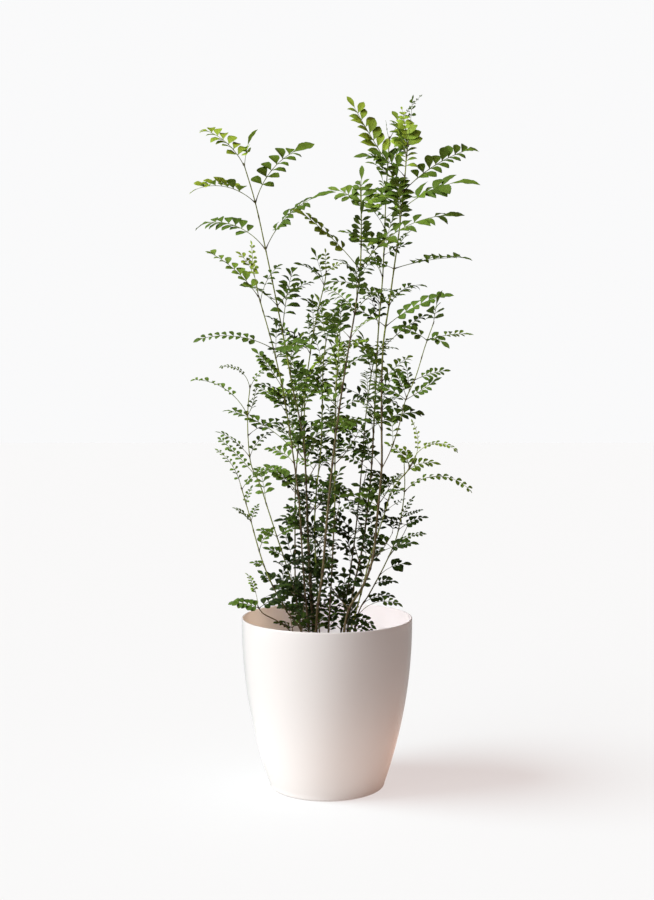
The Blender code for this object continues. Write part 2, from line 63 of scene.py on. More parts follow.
class Builder:
    """Collects vertices, faces and per-vertex values, and makes one mesh object of them."""

    def __init__(self, *channels):
        self.verts, self.faces, self.slots = [], [], []
        self.count = 0
        self.channels = {name: [] for name in channels}

    def add(self, verts, faces, slot=0, **values):
        verts = np.asarray(verts, float)
        self.verts.append(verts)
        self.faces.extend([tuple(self.count + i for i in face) for face in faces])
        self.slots.extend([slot] * len(faces))
        self.count += len(verts)
        for name, store in self.channels.items():
            store.append(np.broadcast_to(np.asarray(values.get(name, 0.0), float), (len(verts),)))

    def finish(self, name, materials, smooth_angle=40):
        mesh = bpy.data.meshes.new(name)
        mesh.from_pydata(np.concatenate(self.verts).tolist(), [], self.faces)
        for channel, store in self.channels.items():
            attribute = mesh.attributes.new(channel, "FLOAT", "POINT")
            attribute.data.foreach_set("value", np.concatenate(store).astype(np.float32))
        for material in materials:
            mesh.materials.append(material)
        mesh.polygons.foreach_set("material_index", self.slots)
        mesh.shade_smooth()
        mesh.set_sharp_from_angle(angle=math.radians(smooth_angle))
        item = bpy.data.objects.new(name, mesh)
        bpy.context.scene.collection.objects.link(item)
        return item


def settle(item, slot, *nodes):
    """A finished piece rides on the one body and stands for CAD nodes, which are hidden. The slot is not
    used.
    """
    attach(item, "root")
    if nodes:
        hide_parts(*nodes)


def unit(vector):
    return vector / np.linalg.norm(vector)


def heading_vector(degrees):
    return np.array((math.cos(math.radians(degrees)), math.sin(math.radians(degrees)), 0.0))


def tube_faces(rings, sides):
    faces = []
    for low in range(0, (rings - 1) * sides, sides):
        for side in range(sides):
            after = (side + 1) % sides
            faces.append((low + side, low + after, low + sides + after, low + sides + side))
    faces.append(tuple(reversed(range(sides))))
    faces.append(tuple((rings - 1) * sides + side for side in range(sides)))
    return faces


def tube_points(centres, tangents, radii, sides):
    """Rings of points round a path, each turned as little as possible from the last."""
    rings = []
    angles = np.arange(sides) * 2 * math.pi / sides
    across = unit(np.cross(tangents[0], (0.0, 1.0, 0.13)))
    for centre, tangent, radius in zip(centres, tangents, radii):
        tangent = unit(tangent)
        across = unit(across - tangent * across.dot(tangent))
        other = np.cross(tangent, across)
        rings.append(centre + radius * (np.outer(np.cos(angles), across) + np.outer(np.sin(angles), other)))
    return np.concatenate(rings)


# ---- reading the CAD frame -----------------------------------------

RING_STEP = 0.004               # CAD rings of a cane are further apart in height than this
COLLAR_REACH = 0.0020           # a leaf pair's collar lies within this of the cane's surface
LOOP_REACH = 0.0036             # the corners of a leaf's last cross section lie within this of its tip
CANE_SLIMNESS = 0.74            # a round cane is thinner than the corners of its faceted CAD body
THIN_CANES = {"right_limb": 0.60, "right_low": 0.66, "left_outer": 0.62, "left_low": 0.64,
              "left_sprawl": 0.66}
TANGENT_REACH = 0.004           # a cane's direction is taken over this height, above and below
# the limb's points stand right of this line, in this span of heights, clear of its parent cane
LIMB_SPLIT_X = 0.0965
LIMB_SPAN = (0.53, 0.77)
LIMB_FORK = 0.028               # from the limb's lowest ring down to the fork
SOIL_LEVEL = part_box("potting_soil")[1].z - 0.003


def cad_points(node):
    points = np.array([vertex.co[:] for vertex in frame["nodes"][node].data.vertices])
    return np.unique(points.round(5), axis=0)


def rings_of(points):
    points = points[np.argsort(points[:, 2])]
    return np.split(points, np.flatnonzero(np.diff(points[:, 2]) > RING_STEP) + 1)


def place_on(line, height):
    """Where a line that climbs through points is, across and in depth, at a height."""
    return np.array([np.interp(height, line[:, 2], line[:, i]) for i in range(2)])


class Cane:
    """A cane's centre line, smoothed through the CAD cane's rings, with its taper."""

    def __init__(self, name, rings, foot=None):
        centres = [ring.mean(0) for ring in rings]
        radii = [np.linalg.norm(ring - ring.mean(0), axis=1).mean() for ring in rings]
        self.corners = np.array(([foot] if foot is not None else []) + centres)
        self.low_radius, self.high_radius = radii[0], radii[-1]
        self.slimness = THIN_CANES.get(name, CANE_SLIMNESS)
        self.line = smooth_line(self.corners)
        self.bottom, self.top = self.line[0, 2], self.line[-1, 2]

    def at(self, height):
        """The centre and the direction of the cane."""
        ahead = min(height + TANGENT_REACH, self.top)
        behind = ahead - 2 * TANGENT_REACH
        step = place_on(self.line, ahead) - place_on(self.line, behind)
        return np.append(place_on(self.line, height), height), unit(np.append(step, 2 * TANGENT_REACH))

    def radius(self, height):
        share = (height - SOIL_LEVEL) / (self.top - SOIL_LEVEL)
        share = min(max(share, 0.0), 1.0)
        return self.slimness * (self.low_radius + (self.high_radius - self.low_radius) * share)


def smooth_line(corners, step=0.003):
    """Centripetal Catmull-Rom curve through the corners, as closely spaced points."""
    control = np.vstack((2 * corners[0] - corners[1], corners, 2 * corners[-1] - corners[-2]))
    points = []
    for i in range(1, len(control) - 2):
        p = control[i - 1:i + 3]
        knots = np.concatenate(([0.0], np.cumsum(np.sqrt(np.linalg.norm(np.diff(p, axis=0), axis=1)))))
        count = max(2, int(np.linalg.norm(p[2] - p[1]) / step))
        for t in np.linspace(knots[1], knots[2], count, endpoint=False):
            level = p
            for reach in (1, 2):
                level = [(knots[k + reach] - t) / (knots[k + reach] - knots[k]) * level[k]
                         + (t - knots[k]) / (knots[k + reach] - knots[k]) * level[k + 1]
                         for k in range(4 - reach)]
            points.append((knots[2] - t) / (knots[2] - knots[1]) * level[0]
                          + (t - knots[1]) / (knots[2] - knots[1]) * level[1])
    points.append(corners[-1])
    return np.array(points)


def read_canes():
    canes = {}
    for node in sorted(frame["nodes"]):
        if not node.startswith("stem_"):
            continue
        name = node[len("stem_"):]
        points = cad_points(node)
        if name == "right_tall":
            heights = points[:, 2]
            on_limb = (points[:, 0] > LIMB_SPLIT_X) & (heights > LIMB_SPAN[0]) & (heights < LIMB_SPAN[1])
            limb = rings_of(points[on_limb])
            points = points[~on_limb]
        canes[name] = Cane(name, rings_of(points))
        if name == "right_tall":
            fork = limb[0].mean(0)[2] - LIMB_FORK
            canes["right_limb"] = Cane("right_limb", limb, canes[name].at(fork)[0])
    return canes


def read_leaf_pair(node, cane):
    """A CAD pair's node height and its two leaves, the left one first, as heading, length, rise, droop."""
    points, parts = cad_parts(node)
    axis = np.array([place_on(cane.corners, z) for z in points[:, 2]])
    away = np.linalg.norm(points[:, :2] - axis, axis=1)
    collar = away < away.min() + COLLAR_REACH
    height = points[collar, 2].mean()
    centre = np.append(place_on(cane.corners, height), height)
    blades = sorted(parts(~collar), key=len)[-2:]
    blades.sort(key=lambda blade: points[blade, 0].mean())
    return height, [read_leaf(points[blade] - centre, cane.radius(height)) for blade in blades]


def cad_parts(node):
    """A node's points, and a function that splits a choice of them into joined groups."""
    mesh = frame["nodes"][node].data
    corners = np.array([vertex.co[:] for vertex in mesh.vertices]).round(5)
    points, place = np.unique(corners, axis=0, return_inverse=True)
    place = place.ravel()
    edges = [(place[a], place[b]) for a, b in (edge.vertices for edge in mesh.edges)]

    def parts(chosen):
        group = np.arange(len(points))
        changed = True
        while changed:
            changed = False
            for a, b in edges:
                if chosen[a] and chosen[b] and group[a] != group[b]:
                    group[a] = group[b] = min(group[a], group[b])
                    changed = True
        return [np.flatnonzero(chosen & (group == label)) for label in np.unique(group[chosen])]

    return points, parts


def read_leaf(points, cane_radius):
    """A CAD leaf bends on an arc in one upright plane: its chord and bulge give the arc."""
    far = points[np.argmax(np.linalg.norm(points, axis=1))]
    tip = points[np.linalg.norm(points - far, axis=1) < LOOP_REACH].mean(0)
    heading = math.degrees(math.atan2(tip[1], tip[0]))
    out = heading_vector(heading)
    foot = out * (cane_radius + COLLAR_REACH)
    chord = tip - foot
    span = np.linalg.norm(chord)
    slope = math.asin(chord[2] / span)
    above = -out * math.sin(slope) + UP * math.cos(slope)
    bulges = (points - foot) @ above
    turn = 4 * math.atan(2 * bulges[np.argmax(np.abs(bulges))] / span)
    length = span if abs(turn) < 0.01 else span * (turn / 2) / math.sin(turn / 2)
    return heading, length, math.degrees(slope + turn / 2), math.degrees(slope - turn / 2)


def frame_slot(node):
    return next(entry["material_slot"] for entry in frame["record"]["subparts"] if entry["node"] == node)


# ---- node materials ------------------------------------------------

class Nodes:
    """Short calls for building the node tree of a new material, or of the world when that is the owner."""

    def __init__(self, name, owner=None):
        self.owner = owner or bpy.data.materials.new(name)
        self.owner.use_nodes = True
        self.nodes = self.owner.node_tree.nodes
        self.shader = self.nodes.get("Principled BSDF")

    def feed(self, socket, value):
        """Links another node's output, or sets a plain value."""
        if isinstance(value, bpy.types.NodeSocket):
            self.owner.node_tree.links.new(value, socket)
        elif socket.type == "RGBA":
            socket.default_value = (*value, 1.0)
        else:
            socket.default_value = value

    def set(self, node=None, **inputs):
        """Feeds inputs by name; the material's own shader is the node meant when none is given."""
        for key, value in inputs.items():
            self.feed((node or self.shader).inputs[key.replace("_", " ")], value)

    def node(self, kind, **settings):
        """A new node; settings in capitals are its inputs, the others its properties."""
        made = self.nodes.new(kind)
        for key, value in settings.items():
            if not key[0].isupper():
                setattr(made, key, value)
        self.set(made, **{key: value for key, value in settings.items() if key[0].isupper()})
        return made

    def attribute(self, name):
        return self.node("ShaderNodeAttribute", attribute_name=name).outputs["Fac"]

    def coordinates(self, kind="Object"):
        return self.node("ShaderNodeTexCoord").outputs[kind]

    def axis(self, source, name):
        return self.node("ShaderNodeSeparateXYZ", Vector=source).outputs[name]

    def math(self, operation, *values):
        made = self.node("ShaderNodeMath", operation=operation)
        for socket, value in zip(made.inputs, values):
            self.feed(socket, value)
        return made.outputs[0]

    def times(self, first, second):
        return self.math("MULTIPLY", first, second)

    def plus(self, first, second):
        return self.math("ADD", first, second)

    def minus(self, first, second):
        return self.math("SUBTRACT", first, second)

    def noise(self, scale, detail=3.0, roughness=0.5, vector=None):
        return self.node("ShaderNodeTexNoise", Scale=scale, Detail=detail, Roughness=roughness,
                         Vector=vector or self.coordinates()).outputs["Fac"]

    def ramp(self, value, *stops):
        made = self.node("ShaderNodeValToRGB", Fac=value)
        elements = made.color_ramp.elements
        while len(elements) < len(stops):
            elements.new(0.5)
        for element, (position, colour) in zip(elements, stops):
            element.position = position
            element.color = (*colour, 1.0)
        return made.outputs["Color"]

    def spread(self, value, low, high, to_low=0.0, to_high=1.0):
        return self.node("ShaderNodeMapRange", Value=value, From_Min=low, From_Max=high, To_Min=to_low,
                         To_Max=to_high).outputs["Result"]

    def mix(self, factor, first, second):
        made = self.node("ShaderNodeMix", data_type="RGBA")
        for socket, value in zip([s for s in made.inputs if s.enabled], (factor, first, second)):
            self.feed(socket, value)
        return next(s for s in made.outputs if s.enabled)

    def mix_shaders(self, factor, first, second, output):
        """The mix of two nodes' shaders becomes the tree's surface."""
        made = self.node("ShaderNodeMixShader", Fac=factor)
        self.feed(made.inputs[1], first.outputs[0])
        self.feed(made.inputs[2], second.outputs[0])
        self.set(self.nodes[output], Surface=made.outputs["Shader"])

    def bump(self, height, strength, distance):
        made = self.node("ShaderNodeBump", Strength=strength, Distance=distance, Height=height)
        self.set(Normal=made.outputs["Normal"])


def leaf_material():
    """Leaflet skin: age runs from yellow-green to deep green, the deepest green partly painted shade, with
    veins, a pale underside and mottling.
    """
    n = Nodes("leaflet")
    along, across, under = n.attribute("along"), n.attribute("across"), n.attribute("under")
    mottle = n.noise(260.0)
    shifted = n.plus(n.attribute("age"), n.times(n.minus(mottle, 0.5), 0.16))
    top = n.ramp(shifted, (0.0, (0.55, 0.69, 0.052)), (0.25, (0.280, 0.425, 0.046)),
                 (0.5, (0.165, 0.288, 0.036)), (0.75, (0.078, 0.148, 0.020)), (1.0, (0.017, 0.038, 0.009)))
    # side veins leave the midrib at a slant and fade towards the margin
    slant = n.minus(n.times(along, 9.0), n.times(across, 3.4))
    side_vein = n.spread(n.math("SINE", n.times(slant, 2 * math.pi)), 0.80, 1.0)
    midrib = n.spread(across, 0.11, 0.03)
    vein = n.math("MAXIMUM", midrib, n.times(side_vein, 0.38))
    veined = n.mix(n.times(vein, 0.55), top, n.mix(0.45, top, (0.36, 0.46, 0.08)))
    sided = n.mix(under, veined, n.mix(0.34, veined, (0.30, 0.40, 0.09)))
    shade = n.spread(n.attribute("tone"), 0.0, 1.0, 0.50, 1.50)
    skin = n.node("ShaderNodeHueSaturation", Value=shade, Color=sided).outputs["Color"]
    n.set(Base_Color=skin, Specular_IOR_Level=0.17,
          Roughness=n.spread(n.plus(mottle, n.times(under, 0.5)), 0.2, 1.2, 0.42, 0.66))
    n.bump(n.plus(vein, n.times(mottle, 0.25)), 0.35, 0.0004)
    through = n.node("ShaderNodeBsdfTranslucent", Color=n.mix(0.5, skin, (0.20, 0.32, 0.03)))
    n.mix_shaders(0.28, n.shader, through, "Material Output")
    return n.owner


def stalk_material():
    """Leaf stalks: purple-brown at the foot, green along the way, with dark joints."""
    n = Nodes("leaf_stalk")
    green = n.ramp(n.attribute("age"), (0.0, (0.34, 0.40, 0.06)), (0.5, (0.22, 0.28, 0.05)),
                   (1.0, (0.07, 0.065, 0.025)))
    foot = n.spread(n.plus(n.attribute("along"), n.times(n.noise(180.0), 0.2)), 0.08, 0.26, 1.0, 0.0)
    stained = n.mix(n.times(foot, 0.8), green, (0.060, 0.022, 0.022))
    n.set(Base_Color=n.mix(n.times(n.attribute("joint"), 0.85), stained, (0.040, 0.010, 0.014)),
          Roughness=n.spread(n.noise(420.0), 0.3, 0.7, 0.38, 0.6))
    n.bump(n.noise(900.0), 0.2, 0.0003)
    return n.owner


def bark_material():
    """Canes: fissured grey-brown bark low down, smooth streaked green above, dark purple nodes."""
    n = Nodes("cane_bark")
    stretched = n.node("ShaderNodeMapping", Vector=n.coordinates(), Scale=(1.0, 1.0, 0.12))
    streak = n.noise(900.0, 4.0, 0.6, stretched.outputs["Vector"])
    lenticel = n.spread(n.noise(700.0, 2.0), 0.62, 0.70)
    green = n.ramp(streak, (0.25, (0.15, 0.18, 0.028)), (0.55, (0.28, 0.33, 0.050)),
                   (0.8, (0.43, 0.45, 0.11)))
    bark = n.ramp(streak, (0.25, (0.050, 0.034, 0.017)), (0.5, (0.155, 0.122, 0.058)),
                  (0.8, (0.37, 0.32, 0.17)))
    patchy = n.times(n.minus(n.noise(60.0), 0.5), 0.6)
    amount = n.spread(n.plus(n.attribute("wood"), patchy), 0.35, 0.65)
    dotted = n.mix(n.times(lenticel, 0.45), n.mix(amount, green, bark), (0.34, 0.29, 0.20))
    n.set(Base_Color=n.mix(n.times(n.attribute("node"), 0.8), dotted, (0.050, 0.020, 0.020)),
          Roughness=n.spread(amount, 0.0, 1.0, 0.42, 0.82), Specular_IOR_Level=0.18)
    n.bump(n.plus(streak, n.times(lenticel, 0.6)), 0.5, 0.0005)
    return n.owner


def pot_material():
    """Glossy injection-moulded ivory plastic: a trace of orange peel and faint uneven gloss."""
    n = Nodes("ivory_gloss")
    cloud = n.times(n.noise(9.0), 0.5)
    n.set(Base_Color=n.mix(cloud, (0.855, 0.818, 0.795), (0.873, 0.836, 0.812)),
          Roughness=n.spread(n.noise(40.0, 4.0), 0.3, 0.7, 0.16, 0.24),
          Specular_IOR_Level=0.38, Coat_Weight=0.10, Coat_Roughness=0.08)
    n.bump(n.noise(240.0, 2.0), 0.05, 0.0004)
    return n.owner


def nursery_material():
    """Dull black recycled plastic with a fine grain."""
    n = Nodes("nursery_black")
    grain = n.noise(420.0)
    n.set(Base_Color=n.ramp(grain, (0.3, (0.016, 0.016, 0.017)), (0.7, (0.036, 0.035, 0.034))),
          Roughness=n.spread(n.noise(30.0), 0.3, 0.7, 0.42, 0.62))
    n.bump(grain, 0.15, 0.0004)
    return n.owner


def soil_material():
    """Peaty potting mix: dark crumbs, paler bark fibres and a few grey specks."""
    n = Nodes("potting_mix")
    crumb = n.noise(190.0, 6.0, 0.65)
    cells = n.node("ShaderNodeTexVoronoi", Scale=260.0, Vector=n.coordinates())
    dark = n.ramp(crumb, (0.30, (0.010, 0.006, 0.004)), (0.52, (0.036, 0.022, 0.013)),
                  (0.75, (0.095, 0.062, 0.038)))
    speck = n.times(n.spread(n.noise(330.0, 2.0), 0.68, 0.74), 0.5)
    n.set(Base_Color=n.mix(speck, dark, (0.30, 0.25, 0.19)), Roughness=n.spread(crumb, 0.3, 0.7, 0.97, 0.8))
    n.bump(n.minus(crumb, cells.outputs["Distance"]), 0.9, 0.002)
    return n.owner


# ---- leaves --------------------------------------------------------

LEAFLET_THICKNESS = 0.00028
# half width over length along a leaflet; the outer half of the margin is toothed
POINTED = (
    (0, .016), (.1, .05), (.22, .14), (.34, .235), (.44, .305), (.52, .302), (.59, .34), (.67, .302),
    (.74, .292), (.81, .215), (.88, .16), (.94, .072), (1, .012))
FAN = (
    (0, .018), (.12, .07), (.27, .2), (.42, .33), (.55, .4), (.64, .395), (.71, .43), (.78, .385),
    (.84, .37), (.9, .265), (.95, .17), (1, .04))
OVAL = (
    (0, .018), (.09, .11), (.2, .235), (.32, .315), (.44, .35), (.53, .335), (.61, .345), (.69, .29),
    (.76, .28), (.84, .19), (.91, .14), (1, .014))
SMALL = (
    (0, .02), (.22, .12), (.42, .265), (.6, .375), (.72, .3), (.86, .215), (1, .014))


class Outline:
    """Unit leaflet of one outline: positions along and across, and the faces of its closed skin."""

    def __init__(self, stations):
        along, across, faces = [], [], []
        for share, width in stations:
            along += [share, share, share]
            across += [0.0, width, -width]
        count = len(along)
        last = count - 3
        for a in range(0, last, 3):
            b = a + 3
            faces += [(a, a + 1, b + 1, b), (a + 2, a, b, b + 2)]
        faces += [tuple(count + v for v in reversed(face)) for face in faces]
        # the rim between the upper and the lower skin, edge by edge
        edges = [edge for a in range(0, last, 3) for edge in ((a + 1, a + 4), (a + 5, a + 2))]
        edges += [(0, 1), (2, 0), (last + 1, last), (last, last + 2)]
        faces += [(a, count + a, count + b, b) for a, b in edges]
        self.along, self.across, self.faces = np.array(along), np.array(across), faces
        self.half_width = max(width for _, width in stations)


SHAPES = {"pointed": Outline(POINTED), "oval": Outline(OVAL), "fan": Outline(FAN), "small": Outline(SMALL)}
RIPPLE, RIPPLE_WAVES = 0.016, 17.0      # the margin waves up and down by this share of the length


def add_leaflet(builder, shape, base, direction, normal, size, bend, **values):
    """A thin closed leaflet from base along direction, its upper face towards normal.

    size is its length and width factor; bend is the fold at the midrib, the droop and the sideways sweep."""
    length, width = size
    fold, droop, sweep = bend
    direction = unit(direction)
    normal = unit(normal - direction * normal.dot(direction))
    side = np.cross(normal, direction)
    # the midrib bends down more and more towards the tip, and the two halves fold up from it
    angle = np.maximum(shape.along, 1e-4) * droop
    cross = shape.across * width
    spread = np.abs(shape.across) / shape.half_width
    ripple = RIPPLE * np.sin(shape.along * RIPPLE_WAVES) * spread
    height = np.abs(cross) * math.sin(fold) - (1 - np.cos(angle)) / droop + ripple
    aside = cross * math.cos(fold) + sweep * shape.along ** 2
    place = base + length * (np.outer(np.sin(angle) / droop, direction) + np.outer(aside, side)
                             + np.outer(height, normal))
    skin = 0.5 * LEAFLET_THICKNESS * normal
    builder.add(np.concatenate((place + skin, place - skin)), shape.faces, 0,
                along=np.tile(shape.along, 2), across=np.tile(spread, 2),
                under=np.repeat((0.0, 1.0), len(shape.along)), **values)


STALK_STEPS = 20


class Leaf:
    """One pinnate leaf on an arc in an upright plane, rolled about its own line."""

    def __init__(self, foot, heading, length, rise, droop, roll=0.0):
        self.length, self.roll = length, roll
        out = heading_vector(heading)
        self.side = np.cross(UP, out)
        slopes = np.radians([rise + (droop - rise) * step / STALK_STEPS for step in range(STALK_STEPS + 1)])
        self.tangents = [out * math.cos(slope) + UP * math.sin(slope) for slope in slopes]
        self.points = [foot]
        for low, high in zip(self.tangents, self.tangents[1:]):
            self.points.append(self.points[-1] + unit(low + high) * length / STALK_STEPS)

    def at(self, share):
        """Point, direction, sideways direction and upward direction at a share of the length."""
        place = share * STALK_STEPS
        low = min(int(place), STALK_STEPS - 1)
        part = place - low
        point = self.points[low] * (1 - part) + self.points[low + 1] * part
        tangent = unit(self.tangents[low] * (1 - part) + self.tangents[low + 1] * part)
        side = self.side * math.cos(self.roll) + np.cross(tangent, self.side) * math.sin(self.roll)
        return point, tangent, side, np.cross(tangent, side)


class Look(NamedTuple):
    """How a leaf carries its leaflets; an age or sky below 0 follows from the height or the rise."""
    pairs: int = 0              # 0 is worked out from the leaf's length
    share: float = 0.0          # leaflet length over leaf length; 0 is worked out from the pairs
    age: float = -1.0           # 0 is young and yellow-green, 1 old and dark
    bare: float = 0.20          # stalk before the first leaflets
    end: float = 1.35           # the end leaflet's length over the others'
    slim: float = 0.84          # leaflet width factor
    taper: float = 0.15         # the leaflets shrink by this share towards the tip
    roll: float = 42.0          # degrees that the leaf turns its face to the light in front
    vee: float = 21.0           # degrees that both rows of leaflets rise
    shape: str = "fan"
    sky: float = -1.0           # pull of the leaflets' faces towards the sky


PLAIN = Look()
SKY_BY_RISE = ((40, 62, 80), (0.35, 0.70, 1.20))
LOW_CROWN = 0.58                # below this height the fill is old, broad-leaved and twiggy
LEAFLET_SCALE = 1.25            # leaflets drawn longer than their share, as they overlap
FILL_SCALE_BY_HEIGHT = ((0.80, 0.94), (1.20, 1.65))
FILL_SLIM = 0.72                # width factor of the fill's leaflets
LOW_LEAFLET_SCALE = 1.27        # for the fill low down, where the leaflets are fewer and broader
LEAFLET_SPREAD = (68, 22)       # degrees off the stalk at the first pair, and less by this at the last
FALLEN_SHARE = 0.02             # of the leaflets are missing
LEAFLET_FOLD = 12               # degrees that each half folds up from the midrib
LEAFLET_DROOP, END_DROOP = 52, 28       # degrees that a leaflet bends down from its foot to its tip
LEAFLET_SWEEP = 0.10            # share of its length that its tip sweeps towards the leaf's tip
END_WIDTH = 0.70                # of the end leaflet, over the others'


def leaflet_pairs(length):
    """More pairs on a longer leaf."""
    return int(min(7, max(3, round(2.2 + length / 0.032))))


def add_stalk(builder, leaf, end, joints, age, fine):
    """The leaf's stalk: thick at its foot, tapering, and swollen where the leaflets sit."""
    steps, sides = (STALK_STEPS, 5) if fine else (9, 3)
    shares = end * np.arange(steps + 1) / steps
    spots = [leaf.at(share) for share in shares]
    thick_foot = 1 + 0.9 * np.exp(-(shares / 0.030) ** 2)
    radii = (0.00040 + 0.0026 * leaf.length) * (1 - 0.66 * shares) * thick_foot
    near = np.array([min(abs(share - joint) for joint in joints) for share in shares])
    swollen = np.exp(-(near * leaf.length / 0.0016) ** 2)
    foot = np.exp(-(shares / 0.05) ** 2)
    verts = tube_points([spot[0] for spot in spots], [spot[1] for spot in spots],
                        radii * (1 + 0.45 * swollen), sides)
    builder.add(verts, tube_faces(steps + 1, sides), 1, along=np.repeat(shares, sides),
                joint=np.repeat(np.maximum(0.8 * swollen, foot), sides), age=age)


def add_leaf(builder, foot, spec, age, dice, look=PLAIN, fine=True):
    """A whole leaf: stalk, opposite leaflets in a shallow V, and the longer end leaflet."""
    heading, length, rise, droop = spec
    roll = look.roll * math.cos(math.radians(heading)) + dice.gauss(0, 7)
    leaf = Leaf(foot, heading, length, rise, droop, math.radians(roll))
    pairs = look.pairs or leaflet_pairs(length)
    scale, slim = LEAFLET_SCALE, look.slim
    if not fine and foot[2] < LOW_CROWN:
        scale = LOW_LEAFLET_SCALE
    elif not fine:
        scale, slim = float(np.interp(foot[2], *FILL_SCALE_BY_HEIGHT)), FILL_SLIM
    size = scale * length * (look.share or 0.86 / (pairs + 0.6))
    end_size = look.end * size * (1 - 0.5 * look.taper)
    end = 1 - 0.97 * end_size / length
    last = end - 0.35 * size / length
    vee = math.radians(dice.gauss(look.vee, 4))
    sky = look.sky if look.sky >= 0 else float(np.interp(rise, *SKY_BY_RISE))
    tone = dice.gauss(0.5, 0.20)
    shape = SHAPES[look.shape if fine else "small"]
    spots = [look.bare + (last - look.bare) * i / (pairs - 1) for i in range(pairs)]
    for i, spot in enumerate(spots):
        place = i / (pairs - 1)
        point, tangent, side, up = leaf.at(spot)
        profile = (0.86 + 0.20 * math.sin(math.pi * min(1.0, 0.2 + 0.7 * place))) * (1 - look.taper * place)
        for hand in (1, -1):
            if dice.random() < FALLEN_SHARE:
                continue
            spread = math.radians(dice.gauss(LEAFLET_SPREAD[0] - LEAFLET_SPREAD[1] * place, 6))
            raised = vee + math.radians(dice.gauss(0, 7))
            outward = side * hand * math.cos(raised) + up * math.sin(raised)
            normal = up * math.cos(raised) - side * hand * math.sin(raised)
            direction = tangent * math.cos(spread) + outward * math.sin(spread) + 0.12 * normal
            normal = normal + sky * UP + outward * dice.gauss(0, 0.12) + tangent * dice.gauss(-0.08, 0.12)
            bend = (math.radians(dice.gauss(LEAFLET_FOLD, 4)),
                    math.radians(max(12, dice.gauss(LEAFLET_DROOP, 14))),
                    -hand * dice.gauss(LEAFLET_SWEEP, 0.05))
            size_here = (size * profile * dice.gauss(1, 0.07), slim * dice.gauss(1.0, 0.08))
            add_leaflet(builder, shape, point, direction, normal, size_here, bend,
                        age=age + dice.gauss(0, 0.03), tone=tone + dice.gauss(0, 0.12))
    point, tangent, side, up = leaf.at(end)
    normal = up + side * dice.gauss(0, 0.2)
    bend = (math.radians(LEAFLET_FOLD), math.radians(max(8, dice.gauss(END_DROOP, 8))), 0.0)
    add_leaflet(builder, SHAPES["pointed" if fine else "small"], point, tangent, normal,
                (end_size, END_WIDTH * slim), bend, age=age - 0.03, tone=tone)
    add_stalk(builder, leaf, end, spots, age, fine)


# ---- canes ---------------------------------------------------------

CANE_SIDES = 9
NODE_REACH = 0.0024             # half height of the swelling at a node
NODE_SWELL = 0.42
BARK_FADE = 0.16                # height over which the bark gives way to green skin
# height below which each cane is covered in bark
WOODY = {"left_tall": 0.60, "left_second": 0.52, "centre": 0.76, "right_inner": 0.56, "right_tall": 0.64,
         "right_limb": 0.54, "green_right": 0.20, "right_low": 0.28, "left_outer": 0.30, "left_low": 0.28,
         "left_sprawl": 0.30, "green_inner": 0.24, "thin_left": 0.40, "upright": 0.40, "back_left": 0.54,
         "back_right": 0.54}


def add_cane(builder, cane, node_heights, woodiness, dice):
    """Detailed cane: swollen dark nodes, bark below and green skin above, slightly uneven."""
    heights = cane.line[:, 2]
    ring = np.zeros(len(heights))
    for height in node_heights:
        ring = np.maximum(ring, np.exp(-((heights - height) / NODE_REACH) ** 2))
    phase = dice.uniform(0, 6)
    uneven = 1 + 0.04 * np.sin(heights * 310 + phase) + 0.03 * np.sin(heights * 127 + 2 * phase)
    radii = np.array([cane.radius(z) for z in heights]) * uneven * (1 + NODE_SWELL * ring)
    radii[-1] *= 0.4
    wood = np.interp(heights, (SOIL_LEVEL, woodiness, woodiness + BARK_FADE), (1.0, 0.75, 0.0))
    builder.add(tube_points(cane.line, np.gradient(cane.line, axis=0), radii, CANE_SIDES),
                tube_faces(len(heights), CANE_SIDES), 0, wood=np.repeat(wood, CANE_SIDES),
                node=np.repeat(ring, CANE_SIDES))
